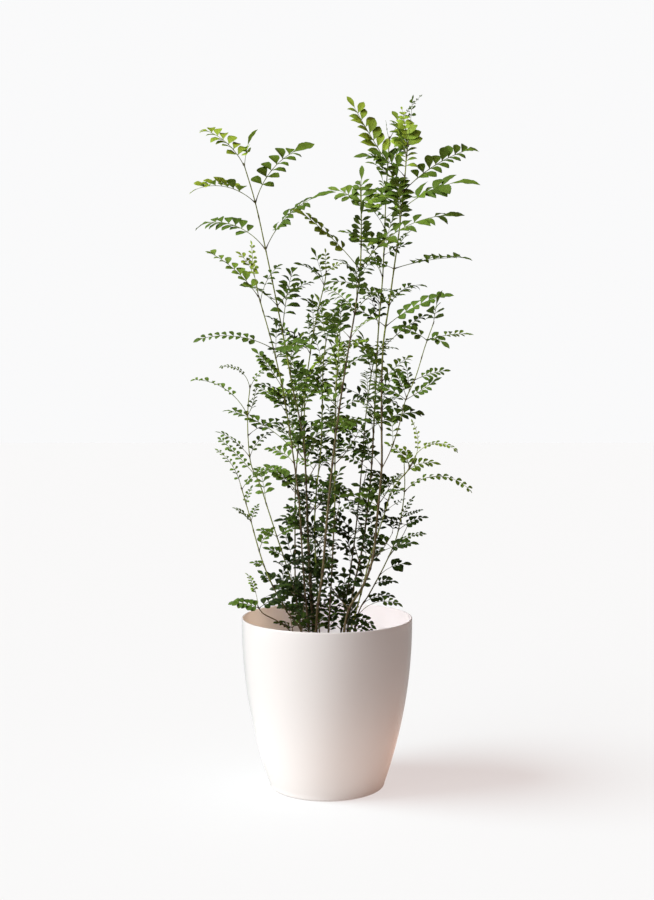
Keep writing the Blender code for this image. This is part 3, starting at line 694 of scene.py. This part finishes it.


# ---- how the single leaves look ------------------------------------

# the ages given per leaf are partly painted light and shade: younger, so lighter, on leaves that face away
# from the lamps, older, so darker, on leaves in shade
# modelled pairs: the left leaf, then the right one
LOOKS = {
    "left_tall_1": (Look(6, .165, .14, .18, .9, .9), Look(3, .24, .18, .28, 1.8, .95, .1)),
    "left_tall_2": (Look(7, .15, .14, .26, 1, .78, .2, 12, 40, sky=.5), Look(6, .12, .42, .2, 2, .95, 0)),
    "left_tall_3": (Look(6, .112, .6, .28, 1.8, .84, 0),
                    Look(8, .135, .6, .22, 1.9, .72, 0, 40, 12, "pointed")),
    "left_tall_4": (Look(4, .19, .6, .2, 1.2, .9), Look(7, .12, .66, .2, 1.6, .55)),
    "left_tall_5": (Look(4, .2, .7), Look(7, .125, .66, .2, 1.7, .65)),
    "left_second_1": (Look(7, .11, .38, .16, .9, .9, .15, 52, 24, sky=.2),
                      Look(6, .085, .08, .42, 1.1, .75, .2)),
    "left_second_2": (Look(8, .078, .58, .25, 1.6, .78, .25, 26, 32), Look(5, .16, .66)),
    "left_second_3": (Look(7, .085, .58, .36, 1.4, .7, 0, 20, 26), Look(6, .12, .72, .25)),
    "left_second_4": (Look(4, .18, .62), Look(6, .13, .66)),
    "centre_1": (Look(7, .09, .18, .3, 1.8, .84, 0, 52, 24, sky=.15),
                 Look(7, .108, .48, .24, 1.5, .8, 0, 36, 14, "pointed")),
    "centre_2": 2 * (Look(3, .29, .36, .3, 1.2, .65),),
    "centre_3": (Look(3, .3, .5, .2, 1.4, .7), Look(3, .28, .6, .15, 1.2, .85)),
    "centre_4": (Look(7, .1, .6, slim=.75, sky=.8), Look(7, .095, .56, slim=.7, sky=.8)),
    "right_inner_1": (Look(2, .15, .5, .5, 1.3, .45), Look(7, .036, .6, .4, 1.2, .6, 0)),
    "right_inner_2": (Look(8, .172, .17, .04, 1, .74, .1, 56, 34, "pointed", .2),
                      Look(3, .3, .76, .2, 1.3, .8)),
    "right_inner_3": 2 * (Look(3, .28, .26, .45, 1.3, .75),),
    "right_tall_1": (Look(7, .275, .19, .04, .5, .82, .5, 42, 14, "oval", .25),
                     Look(3, .11, .4, .6, 1, .8, .2)),
    "right_tall_2": (Look(4, .22, .46, .2, 1.2, .85), Look(8, .105, .46, .2, 1.5, .86, 0)),
    "right_tall_3": (Look(4, .22, .5, .2, 1.2, .85),
                     Look(4, .205, .46, .24, 1.45, .84, 0, 48, 16, "oval", .15)),
    "right_tall_4": (Look(4, .18, .62), Look(7, .105, .54, .24, 1.5, .9, 0, 16, 30)),
    "right_tall_5": (Look(4, .18, .64), Look(6, .15, .62, .2, 1.6, .6, 0, 30, 14, "pointed")),
    "right_tall_6": (Look(5, .15, .66), Look(6, .122, .62, .22, 1.2, .95, 0)),
    "right_limb_1": (Look(4, .18, .62), Look(6, .11, .4, .2, 2, .6, 0)),
    "right_limb_2": (Look(4, .18, .66), Look(5, .16, .6, .2, 1.5, .65, 0)),
    "left_outer_1": (Look(8, .059, .48, .34, 1.3, .85, 0, 24, 30), Look(6, .134, .62, .2, 1.2, .6)),
    "left_outer_2": (Look(8, .08, .6, .2, 1.2, .8, 0), Look(5, .134, .66)),
    "left_outer_3": (Look(8, .063, .36, .36, 1, .7, 0), Look(4, .126, .5, .3, 1.2, .8)),
    "left_outer_4": (Look(6, .109, .56, .25, 1.4, .6, 0), Look(5, .126, .6)),
    "right_low_1": (Look(4, .18, .66), Look(10, .062, .42, .12, .9, .8, 0)),
    "right_low_2": (Look(4, .18, .76), Look(7, .099, .66, .2, 1.3, .85)),
    "green_right_1": (Look(5, .15, .4), Look(9, .06, .22, .4, .9, .85, 0)),
    "green_right_2": (Look(5, .16, .66), Look(3, .12, .6, .5, 1.2, .6)),
    "left_low_1": (Look(8, .08, .48, .22, 1.2, .65, 0), Look(5, .134, .56)),
    "left_low_2": (Look(5, .16, .44, .15, 1.2, .85), Look(4, .168, .56)),
    "left_sprawl_1": (Look(5, .21, .76, .1, 1.1, 1.05, 0), Look(5, .19, .96, .15, 1.1, .95)),
    "thin_left_1": (Look(4, .2, .12, .15, 1.1, .7), Look(3, .22, .12, .25, 1.1, .65)),
    "back_right_2": (Look(5, .15, .8), Look(6, .13, .74, .25, 1.3, .8, 0)),
}

# single leaves between the pairs, by cane: height, then heading, length, rise and droop, and the look
# their ages too are partly painted light and shade, as for the pairs above
SINGLE_LEAVES = {
    "left_second": (
        (.803, (175, .083, 88, 40), Look(5, .11, .14, .45)),
        (.795, (40, .08, 80, 30), Look(4, .13, .5, .35, slim=.7)),
        (.486, (170, .078, 62, 20), Look(6, .16, .58, .3)),
        (.43, (175, .042, 60, 10), Look(4, .25, .8)),
        (.425, (160, .048, 85, 70), Look(5, .2, .8, slim=.7)),
        (.662, (165, .081, 58, 46), Look(7, .16, .5, taper=.3)),
        (.635, (170, .046, 35, 10), Look(4, .26, .68))),
    "thin_left": (
        (.792, (190, .035, 50, 15), Look(3, .3, .5)),
        (.792, (0, .035, 50, 20), Look(3, .28, .5))),
    "centre": (
        (.935, (80, .085, 90, 84), Look(5, .215, .46, .18, 1.35, .62, .1, 42, 8, "pointed", .5)),
        (.885, (-85, .075, 88, 80), Look(6, .235, .46, .1, 1.35, .58, .15, 42, 12, "pointed", .5)),
        (.8, (-90, .07, 88, 78), Look(5, .2, .62, .15, slim=.8))),
    "right_tall": (
        (.945, (125, .088, 88, 62), Look(5, .23, .5, .22, shape="oval")),
        (.725, (20, .1, 45, 25), Look(6, .11, .6, .3, slim=.75)),
        (.387, (-5, .078, 35, 0), Look(4, .152, .9, .45))),
    "right_limb": (
        (.76, (-60, .055, 80, 62), Look(3, .32, .5, .15, slim=.6)),
        (.734, (-50, .05, 15, -50), Look(3, .28, .58)),
        (.672, (10, .062, 25, 5), Look(5, .17, .66, slim=.6)),
        (.645, (150, .06, 70, 50), Look(6, .2, .66)),
        (.655, (140, .05, 85, 75), Look(5, .2, .84, slim=.6))),
    "green_right": (
        (.538, (0, .075, 60, 125), Look(6, .07, .16, .35)),
        (.53, (100, .05, 60, 30), Look(4, .2, .24)),
        (.52, (-10, .065, 55, -25), Look(5, .17, .32, slim=.6))),
    "right_low": (
        (.439, (0, .045, 65, 55), Look(5, .152, .8, .1, slim=.7)),
        (.439, (-20, .042, 30, 15), Look(6, .114, .74)),
        (.42, (-10, .056, 40, 10), Look(4, .167, .9, .3)),
        (.345, (5, .06, 45, -10), Look(3, .213, .96, .4)),
        (.33, (-20, .042, 30, -20), Look(4, .213, .98)),
        (.3, (0, .056, 35, -15), Look(5, .167, .98)),
        (.28, (-10, .085, 55, -30), Look(3, .114, .76, .6)),
        (.262, (-30, .045, 10, -60), Look(5, .152, .98))),
    "right_inner": (
        (.255, (-20, .05, 20, -60), Look(5, .152, .98)),
        (.27, (-40, .06, 30, -50), Look(5, .152, .98))),
    "left_sprawl": (
        (.311, (160, .06, 88, 50), Look(6, .11, .34, .4)),),
    "left_low": (
        (.378, (170, .024, 20, 0), Look(3, .297, .6, .1)),
        (.345, (150, .036, 60, 10), Look(3, .281, .94)),
        (.343, (-10, .03, 20, -10), Look(3, .281, .94)),
        (.402, (40, .05, 75, 20), Look(4, .187, .56, .25)),
        (.478, (0, .03, 80, 60), Look(4, .187, .64, .1))),
    "left_outer": (
        (.418, (190, .036, 30, 10), Look(4, .212, .6)),
        (.418, (0, .05, 35, 10), Look(5, .17, .58)),
        (.385, (185, .036, 35, 10), Look(3, .289, .8))),
    "left_tall": (
        (.66, (20, .052, 78, 60), Look(5, .2, .7)),),
}


# ---- the fill between the modelled pairs ---------------------------

# half width of the crown across and in depth, and the sideways place of its middle, by height
CROWN = np.array((
    (.28, .1, .095, -.005), (.36, .11, .105, .005), (.45, .125, .115, .005), (.55, .14, .125, .005),
    (.65, .15, .13, .01), (.75, .15, .13, .01), (.83, .13, .115, .02), (.92, .1, .09, .06),
    (1, .07, .07, .09), (1.1, .06, .05, .1)))
# leaf darkness by height: older leaves low down, with painted shade for the low crown in the darkest values
AGE_AND_SHADE_BY_HEIGHT = ((.25, .36, .45, .6, .8, 1, 1.1), (1.12, 1.1, .92, .6, .57, .46, .32))
AGE_VARIES = 0.17
FRONT_SHARE = 0.5               # of the fill's leaves stand upright and face the front
SHORTEST_LEAF = 0.032
SHORTENING = 0.88               # a leaf that reaches out of the crown is tried again at this share
LEAF_CLEARANCE = 0.020          # from a leaf's tip to the soil
FIRST_NODE = (0.035, 0.060)     # above the soil, or above the limb's fork
LAST_NODE = 0.020               # below the cane's top
LOW_SPACING, HIGH_SPACING = (0.045, 0.069), (0.032, 0.052)
NODE_CLEARANCE = 0.014          # between the fill and a modelled pair
THINNED_SHARE = 0.75            # of the low leaves in front are left out, so that the canes show
FRONT_REACH = 0.2               # a leaf is in front if at least this share of its reach goes that way
TWIG_SHARE = 0.28               # of the other low leaves are twigs
TWIG_STEPS, TWIG_SIDES = 8, 5
TWIG_RADII = (0.0010, 0.0005)
TWIG_RISE = 18                  # degrees that a twig turns up on its way
TWIG_PITCH = 0.022              # between its leaves


def inside_crown(point):
    wide, deep, middle = (np.interp(point[2], CROWN[:, 0], CROWN[:, i]) for i in (1, 2, 3))
    return ((point[0] - middle) / wide) ** 2 + (point[1] / deep) ** 2 < 1.0


def fitted_leaf(foot, heading, length, rise, droop):
    """The leaf, shortened until its tip stays in the crown; None if that leaves nothing."""
    while length > SHORTEST_LEAF:
        tip = Leaf(foot, heading, length, rise, droop).points[-1]
        if inside_crown(tip) and tip[2] > SOIL_LEVEL + LEAF_CLEARANCE:
            return heading, length, rise, droop
        length *= SHORTENING
    return None


def age_and_shade_at(height, dice):
    """Old and dark low down, fresh at the top; part of the darkness low down is painted shade."""
    return float(np.interp(height, *AGE_AND_SHADE_BY_HEIGHT)) + dice.gauss(0, AGE_VARIES)


def fill_heights(cane, taken, dice):
    """Node heights for the fill: spaced along the cane, clear of the modelled pairs."""
    heights = []
    height = max(cane.bottom, SOIL_LEVEL) + dice.uniform(*FIRST_NODE)
    while height < cane.top - LAST_NODE:
        if all(abs(height - other) > NODE_CLEARANCE for other in taken):
            heights.append(height)
        height += dice.uniform(*(LOW_SPACING if height < LOW_CROWN else HIGH_SPACING))
    return heights


def add_twig(builder, bark, cane, height, heading, length, slope, dice):
    """A side twig with a few pairs of small leaves."""
    out = heading_vector(heading)
    points, tangents = [cane.at(height)[0]], []
    for step in range(TWIG_STEPS + 1):
        rise = math.radians(slope + TWIG_RISE * step / TWIG_STEPS)
        tangents.append(out * math.cos(rise) + UP * math.sin(rise))
    for tangent in tangents[:-1]:
        points.append(points[-1] + tangent * length / TWIG_STEPS)
    radii = np.linspace(*TWIG_RADII, TWIG_STEPS + 1)
    bark.add(tube_points(points, tangents, radii, TWIG_SIDES), tube_faces(TWIG_STEPS + 1, TWIG_SIDES), 0,
             wood=0.7)
    count = max(2, int(length / TWIG_PITCH))
    for i in range(count):
        place = (i + 1) / count * TWIG_STEPS
        low = min(int(place), TWIG_STEPS - 1)
        foot = points[low] + (points[low + 1] - points[low]) * (place - low)
        turn = heading + (90 if i % 2 else 0) + dice.gauss(0, 14)
        for flip in (-90, 90) if i < count - 1 else (-75, 75, 0):
            spec = fitted_leaf(foot, turn + flip, dice.uniform(0.040, 0.070), dice.uniform(15, 60),
                               dice.uniform(-25, 25))
            if spec:
                add_leaf(builder, foot, spec, age_and_shade_at(foot[2], dice), dice, fine=False)


def fill_leaf(heading, low, dice):
    """Heading, length, rise and droop: some leaves stand up and face the front, the rest arch outwards."""
    length = dice.uniform(0.055, 0.095) if low else dice.uniform(0.065, 0.115)
    if dice.random() < FRONT_SHARE:
        facing = 90 if low else dice.choice((-90, 90))
        return facing + dice.gauss(0, 35), 0.85 * length, dice.uniform(70, 88), dice.uniform(35, 75)
    return heading, length, dice.uniform(25, 65), dice.uniform(-28, 25)


def fill_cane(builder, bark, cane, taken, dice):
    """Leaves and twigs at the nodes between the modelled pairs; each pair turns a quarter on the last."""
    heading = dice.uniform(0, 360)
    heights = fill_heights(cane, taken, dice)
    for height in heights:
        heading += 90 + dice.gauss(0, 16)
        foot = cane.at(height)[0]
        low = height < LOW_CROWN
        for flip in (0, 180):
            turn = heading + flip + dice.gauss(0, 10)
            if low and math.sin(math.radians(turn)) < -FRONT_REACH and dice.random() < THINNED_SHARE:
                continue
            if low and dice.random() < TWIG_SHARE:
                add_twig(builder, bark, cane, height, turn, dice.uniform(0.035, 0.075),
                         dice.uniform(25, 60), dice)
                continue
            spec = fill_leaf(turn, low, dice)
            start = foot + heading_vector(spec[0]) * cane.radius(height)
            spec = fitted_leaf(start, *spec)
            if spec:
                add_leaf(builder, start, spec, age_and_shade_at(height, dice), dice, fine=False)
    return heights


# ---- pot and soil --------------------------------------------------

POT_SIDES = 144
POT_FILLET = 0.005              # round edge of the foot
POT_FLOOR = 0.004
INNER_CORNER = 0.008            # the inside's round corner, between wall and floor
SOIL_RINGS, SOIL_SIDES = 46, 150
SOIL_GAP = 0.0004               # kept to the nursery pot's wall
SOIL_WAVES, SOIL_DIP = 0.0016, 0.0010   # height of the surface's slow waves, and how far it sinks
SOIL_GRAIN = 0.0007
LUMPS = 320
LUMP_SIZE = (0.0012, 0.0042)


def turned(builder, profile, sides):
    """Surface of revolution from (radius, height) points; a radius of 0 becomes one vertex."""
    verts, rings = [], []
    for radius, height in profile:
        count = sides if radius else 1
        rings.append(range(len(verts), len(verts) + count))
        for step in range(count):
            angle = 2 * math.pi * step / sides
            verts.append((radius * math.cos(angle), radius * math.sin(angle), height))
    faces = []
    for lower, upper in zip(rings, rings[1:]):
        for step in range(sides):
            after = (step + 1) % sides
            quad = (lower[step % len(lower)], lower[after % len(lower)],
                    upper[after % len(upper)], upper[step % len(upper)])
            faces.append(tuple(dict.fromkeys(quad)))
    builder.add(verts, faces, 0)


def cad_profile(node):
    """Radius and height of each ring of a turned CAD node."""
    points = cad_points(node)
    return sorted({(round(math.hypot(x, y), 4), round(z, 4)) for x, y, z in points}, key=lambda p: p[1])


def arc_points(centre, radius, start, end, count):
    angles = np.radians(np.linspace(start, end, count))
    return [(centre[0] + radius * math.cos(a), centre[1] + radius * math.sin(a)) for a in angles]


def make_cover_pot():
    """The CAD pot's wall, smoothed by a cubic through its rings, with a rolled lip and a soft foot."""
    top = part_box("cover_pot")[1].z
    # the wall's outer and inner radius at each height where the CAD has rings of both
    outer, inner = {}, {}
    for radius, height in cad_profile("cover_pot"):
        if 0.006 < height < top - 0.002 and radius > 0.02:
            outer[height] = max(outer.get(height, 0.0), radius)
            inner[height] = min(inner.get(height, 1.0), radius)
    heights = sorted(h for h in outer if 0.001 < outer[h] - inner[h] < 0.01)
    thickness = min(outer[h] - inner[h] for h in heights)
    lip = thickness / 2
    cubic = np.polyfit(heights, [outer[h] for h in heights], 3)

    def wall(height, inset=0.0):
        return float(np.polyval(cubic, height)) - inset, height

    foot, rim = wall(POT_FILLET)[0], wall(top - lip)[0]
    bend, inner_low = 0.8 * POT_FILLET, POT_FLOOR + INNER_CORNER
    corner = wall(inner_low)[0] - thickness
    profile = [(0.0, 0.0), (foot - 3 * POT_FILLET, 0.0), (foot - 1.5 * POT_FILLET, 0.0)]
    profile += arc_points((foot - bend, bend), bend, -90, -8, 7)
    profile += [wall(z) for z in np.linspace(POT_FILLET, top - lip, 44)]
    profile += arc_points((rim - lip, top - lip), lip, 12, 168, 9)
    profile += [wall(z, thickness) for z in reversed(np.linspace(inner_low, top - lip, 40))]
    profile += [(corner - 0.3 * INNER_CORNER, POT_FLOOR + 0.3 * INNER_CORNER),
                (corner - INNER_CORNER, POT_FLOOR), (0.0, POT_FLOOR)]
    builder = Builder()
    turned(builder, profile, POT_SIDES)
    pot = builder.finish("ivory_cover_pot", [pot_material()], 50)
    settle(pot, "ivory_plastic", "cover_pot")
    return pot


def make_soil():
    """Crumbly surface over the CAD root ball, with small lumps and bark chips pressed into it."""
    low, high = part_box("potting_soil")
    rim, top = high.x - SOIL_GAP, SOIL_LEVEL
    base = max(r for r, z in cad_profile("potting_soil") if z < low.z + 0.001) - SOIL_GAP
    dice = random.Random(11)
    profile = [(0.0, low.z), (base, low.z), (rim, top - 0.004)]
    profile += [(rim * (1 - i / SOIL_RINGS), top) for i in range(1, SOIL_RINGS)] + [(0.0, top)]
    builder = Builder()
    turned(builder, profile, SOIL_SIDES)
    verts = builder.verts[0]
    on_top = verts[:, 2] > top - 0.001
    x, y = verts[on_top, 0], verts[on_top, 1]
    swell = SOIL_WAVES * (np.sin(61 * x + 1) + np.cos(53 * y - 40 * x)) / 2 - SOIL_DIP
    verts[on_top, 2] += swell + np.array([dice.gauss(0, SOIL_GRAIN) for _ in x])
    for _ in range(LUMPS):
        spin, reach = dice.uniform(0, 2 * math.pi), rim * math.sqrt(dice.uniform(0.0, 0.93))
        add_lump(builder, reach * math.cos(spin), reach * math.sin(spin), top, dice)
    settle(builder.finish("potting_mix", [soil_material()], 60), "soil", "potting_soil")


def add_lump(builder, x, y, level, dice):
    """A crumb or bark chip: an uneven eight-cornered pebble."""
    size = dice.uniform(*LUMP_SIZE)
    long_axis = unit(np.array((dice.gauss(0, 1), dice.gauss(0, 1), dice.gauss(0, 0.3))))
    across = unit(np.cross(long_axis, UP))
    third = np.cross(long_axis, across)
    stretch = dice.uniform(1.0, 1.9)
    verts = []
    for i, j, k in itertools.product((-1, 1), repeat=3):
        wobble = dice.uniform(0.7, 1.1)
        verts.append(np.array((x, y, level)) + size * wobble * (
            i * stretch * long_axis + j * 0.7 * across + k * 0.5 * third))
    faces = [(0, 1, 3, 2), (4, 6, 7, 5), (0, 4, 5, 1), (2, 3, 7, 6), (0, 2, 6, 4), (1, 5, 7, 3)]
    builder.add(verts, faces, 0)


# ---- stage, light and camera ---------------------------------------

# in front, a little above the middle of the plant
CAMERA_AT = (0.0, -2.06, 0.653)
CAMERA_PITCH_DOWN = 2.66        # degrees
CAMERA_LENS = 50.0              # mm, with 36 mm on the long side

# the lamps: azimuth from the left (-X) towards the front (-Y), elevation, width, strength and colour
KEY = (20, 46, 17, 0.66, (0.92, 1.0, 1.03))
SWEEP = (7, 36, 38, 1.8, (0.96, 1.06, 1.08))
# the narrow beams onto the inside of the pot: strength and colour
SNOOT_LEFT = (0.64, (0.98, 0.955, 1.0))
SNOOT_RIGHT = (0.83, (1.0, 0.75, 0.56))
SNOOT_ELEVATION = 30
SNOOT_DISTANCE = 1.3
SNOOT_REACH = 0.085             # half width of a beam where it meets the pot
SNOOT_SOFTNESS = 0.08
# the surroundings: a broad soft side to the front left, over a fill that is warmer on the right
SOFT_AZIMUTH = 34.0
SOFT_ELEVATION = 26.0
SOFT_FOCUS = 13.0
SOFT_STRENGTH = 4.95
SOFT_COLOUR = (0.96, 1.0, 1.03)
FILL_STRENGTH = 0.068
FILL_LEFT = (1.0, 0.98, 0.95)
FILL_RIGHT = (1.45, 0.60, 0.48)
SIDE_STRENGTH = 0.11            # more fill from the right, gathered there by the focus
SIDE_FOCUS = 6.0
BACKDROP = (0.955, 0.955, 0.960)
# a light-table floor: what it sends to the camera, and the warmer bounce it sends up to the plant, a painted
# glow that stands in for bounce light
FLOOR_REACH = 14.0
FLOOR_GLOW = (0.676, 0.610, 0.595)
FLOOR_ALBEDO = (0.195, 0.23, 0.2375)
BOUNCE_LIT = (0.43, 0.415, 0.405)
BOUNCE_SHADED = (0.53, 0.345, 0.270)
BOUNCE_SIDE = 0.20              # metres left and right of the pot where one gives way to the other, the painted bounce neutral on the lit left and warm on the shaded right
BOUNCE_FAR, BOUNCE_NEAR = 0.26, 2.35    # share of the painted bounce far from the pot, and what a painted pool of light round it adds
BOUNCE_POOL = 0.34              # metres, the reach of the painted pool of light
FOOT_SHADE = (0.09, 0.24, 0.30)         # painted shade at the pot's foot: the bounce rises over this span of metres, from this share of itself


def light_direction(azimuth, elevation):
    """Towards the light."""
    turn, lift = math.radians(azimuth), math.radians(elevation)
    return Vector((-math.cos(turn) * math.cos(lift), -math.sin(turn) * math.cos(lift), math.sin(lift)))


def add_lamp(name, kind, towards, power, colour):
    """A lamp in the direction named, shining back from there."""
    lamp = bpy.data.lights.new(name, kind)
    lamp.energy = power
    lamp.color = colour
    item = bpy.data.objects.new(name, lamp)
    item.rotation_euler = towards.to_track_quat("Z", "Y").to_euler()
    bpy.context.scene.collection.objects.link(item)
    return item


def add_sun(name, azimuth, elevation, width, strength, colour):
    """Soft parallel light; gives the lamp's light linking."""
    item = add_lamp(name, "SUN", light_direction(azimuth, elevation), strength * math.pi, colour)
    item.data.angle = math.radians(width)
    return item.light_linking


def add_snoot(name, azimuth, strength, colour, lit):
    """A narrow soft beam over the rim onto the inside of the pot; only what lit holds takes part."""
    towards = light_direction(azimuth, SNOOT_ELEVATION)
    power = 4 * math.pi ** 2 * SNOOT_DISTANCE ** 2 * strength
    item = add_lamp(name, "SPOT", towards, power, colour)
    item.data.spot_size = 2 * math.atan(SNOOT_REACH / SNOOT_DISTANCE)
    item.data.spot_blend = 0.5
    item.data.shadow_soft_size = SNOOT_SOFTNESS
    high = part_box("cover_pot")[1]
    # it meets the wall a little below the rim, on the side away from the lamp
    reach, turn = 0.94 * high.x, math.radians(azimuth)
    target = Vector((reach * math.cos(turn), reach * math.sin(turn), high.z - 0.020))
    item.location = target + SNOOT_DISTANCE * towards
    item.light_linking.receiver_collection = lit
    item.light_linking.blocker_collection = lit


def make_lights(pot, floor):
    """A key for the plant and its pot; a broader, more sideways lamp draws the pot's short soft shadow."""
    collections = {}
    for name, item in (("inside_pot", pot), ("ground", floor), ("above_ground", floor)):
        collections[name] = bpy.data.collections.new(name)
        collections[name].objects.link(item)
    collections["above_ground"].collection_objects[0].light_linking.link_state = "EXCLUDE"
    add_sun("key", *KEY).receiver_collection = collections["above_ground"]
    sweep = add_sun("sweep", *SWEEP)
    sweep.receiver_collection = collections["ground"]
    sweep.blocker_collection = collections["inside_pot"]
    for azimuth in (10, 36, 62):
        add_snoot("snoot_left_%d" % azimuth, azimuth, *SNOOT_LEFT, collections["inside_pot"])
    add_snoot("snoot_right", 158, *SNOOT_RIGHT, collections["inside_pot"])


def make_world():
    """Surroundings: white behind the plant for the camera; as light, even with a broad bright side."""
    world = bpy.data.worlds.new("studio")
    bpy.context.scene.world = world
    n = Nodes("studio", world)
    direction = n.coordinates("Generated")
    facing = n.node("ShaderNodeVectorMath", operation="DOT_PRODUCT")
    n.feed(facing.inputs[0], direction)
    n.feed(facing.inputs[1], light_direction(SOFT_AZIMUTH, SOFT_ELEVATION))
    lobe = n.math("POWER", n.math("MAXIMUM", facing.outputs["Value"], 0.0), SOFT_FOCUS)
    rightness = n.math("MULTIPLY_ADD", n.axis(direction, "X"), 0.5, 0.5)
    even = n.math("MULTIPLY_ADD", n.math("POWER", rightness, SIDE_FOCUS), SIDE_STRENGTH, FILL_STRENGTH)
    colour = n.mix(n.math("POWER", lobe, 2.0), n.mix(rightness, FILL_LEFT, FILL_RIGHT), SOFT_COLOUR)
    light = n.nodes["Background"]
    n.set(light, Color=colour, Strength=n.math("MULTIPLY_ADD", lobe, SOFT_STRENGTH, even))
    seen = n.node("ShaderNodeBackground", Color=BACKDROP, Strength=1.0)
    camera_ray = n.node("ShaderNodeLightPath").outputs["Is Camera Ray"]
    n.mix_shaders(camera_ray, light, seen, "World Output")


def floor_material():
    """Pale floor; seen by the camera it is lifted towards the backdrop's white, and keeps the shadow. To all
    other rays it glows with painted bounce light, pooled round the pot, with painted shade at its foot.
    """
    n = Nodes("pale_floor")
    n.set(Base_Color=FLOOR_ALBEDO, Roughness=0.9, Specular_IOR_Level=0.0)
    seen = n.node("ShaderNodeLightPath").outputs["Is Camera Ray"]
    sideways = n.spread(n.axis(n.coordinates(), "X"), -BOUNCE_SIDE, BOUNCE_SIDE)
    length = n.node("ShaderNodeVectorMath", operation="LENGTH", Vector=n.coordinates())
    away = length.outputs["Value"]
    reach = n.times(away, 1 / BOUNCE_POOL)
    pool = n.math("EXPONENT", n.times(n.times(reach, reach), -1.0))
    bounce = n.math("MULTIPLY_ADD", pool, BOUNCE_NEAR, BOUNCE_FAR)
    start, end, share = FOOT_SHADE
    bounce = n.times(bounce, n.spread(away, start, end, share, 1.0))
    # to all rays but the camera's the glow is painted bounce light: a pool round the pot, painted shade at
    # its foot, neutral on the lit left and warm on the shaded right
    glow = n.node("ShaderNodeEmission",
                  Color=n.mix(seen, n.mix(sideways, BOUNCE_LIT, BOUNCE_SHADED), FLOOR_GLOW),
                  Strength=n.math("MAXIMUM", seen, n.times(bounce, n.minus(1.0, seen))))
    add = n.node("ShaderNodeAddShader")
    n.feed(add.inputs[0], n.shader.outputs["BSDF"])
    n.feed(add.inputs[1], glow.outputs["Emission"])
    n.set(n.nodes["Material Output"], Surface=add.outputs["Shader"])
    return n.owner


def make_floor():
    builder = Builder()
    corners = [(-1, -1), (1, -1), (1, 1), (-1, 1)]
    builder.add([(x * FLOOR_REACH, y * FLOOR_REACH, 0) for x, y in corners], [(0, 1, 2, 3)])
    floor = builder.finish("studio_floor", [floor_material()])
    return floor


def make_camera():
    camera = bpy.data.cameras.new("view")
    camera.lens = CAMERA_LENS
    camera.sensor_width = 36.0
    camera.sensor_fit = "AUTO"
    item = bpy.data.objects.new("view", camera)
    item.location = CAMERA_AT
    item.rotation_euler = (math.radians(90 - CAMERA_PITCH_DOWN), 0.0, 0.0)
    bpy.context.scene.collection.objects.link(item)
    bpy.context.scene.camera = item


# ---- the whole plant -----------------------------------------------

CHANNELS = ("along", "across", "under", "age", "tone", "joint")
SHORT_CANE = 0.56               # a cane that ends below this bears old leaves only


def grow(builder, cane, height, spec, look, dice):
    """One leaf at its height on a cane."""
    foot = cane.at(height)[0] + heading_vector(spec[0]) * 0.8 * cane.radius(height)
    age = look.age if look.age >= 0 else age_and_shade_at(height, dice)
    add_leaf(builder, foot, spec, age, dice, look)


def make_pair(node, cane, skins):
    """The detailed pair that takes a CAD pair's place; gives the height of its node."""
    dice = random.Random(node)
    pair = node[len("leaves_"):]
    height, leaves = read_leaf_pair(node, cane)
    builder = Builder(*CHANNELS)
    for spec, look in zip(leaves, LOOKS.get(pair, (PLAIN, PLAIN))):
        grow(builder, cane, height, spec, look, dice)
    settle(builder.finish("pair_" + pair, skins), frame_slot(node), node)
    return height


def make_cane(name, cane, taken, skins, bark_skin):
    """A cane with its bark, single leaves, fill and twigs; taken are the heights of its modelled pairs."""
    dice = random.Random("fill " + name)
    leaves, wood = Builder(*CHANNELS), Builder("wood", "node")
    singles = SINGLE_LEAVES.get(name, ())
    for height, spec, look in singles:
        grow(leaves, cane, height, spec, look, dice)
    taken = taken + [height for height, _, _ in singles]
    heights = fill_cane(leaves, wood, cane, taken, dice)
    add_cane(wood, cane, taken + heights, WOODY[name], dice)
    item = wood.finish("cane_" + name, [bark_skin])
    if name == "right_limb":        # the CAD node of right_tall has both, and that cane replaces it
        settle(item, "bark")
    else:
        settle(item, frame_slot("stem_" + name), "stem_" + name)
    if leaves.count:
        settle(leaves.finish("foliage_" + name, skins), "leaf_old" if cane.top < SHORT_CANE else "leaf_crown")


def make_plant():
    canes = read_canes()
    skins, bark_skin = [leaf_material(), stalk_material()], bark_material()
    pair_heights = {name: [] for name in canes}
    for node in sorted(frame["nodes"]):
        if node.startswith("leaves_"):
            carrier = node[len("leaves_"):].rsplit("_", 1)[0]
            pair_heights[carrier].append(make_pair(node, canes[carrier], skins))
    for name, cane in canes.items():
        make_cane(name, cane, pair_heights[name], skins, bark_skin)


def main():
    bpy.context.scene.view_settings.view_transform = "Standard"
    make_camera()
    make_world()
    floor = make_floor()
    make_lights(make_cover_pot(), floor)
    nursery = frame["nodes"]["nursery_pot"].data.materials
    nursery.clear()
    nursery.append(nursery_material())
    make_soil()
    make_plant()


main()
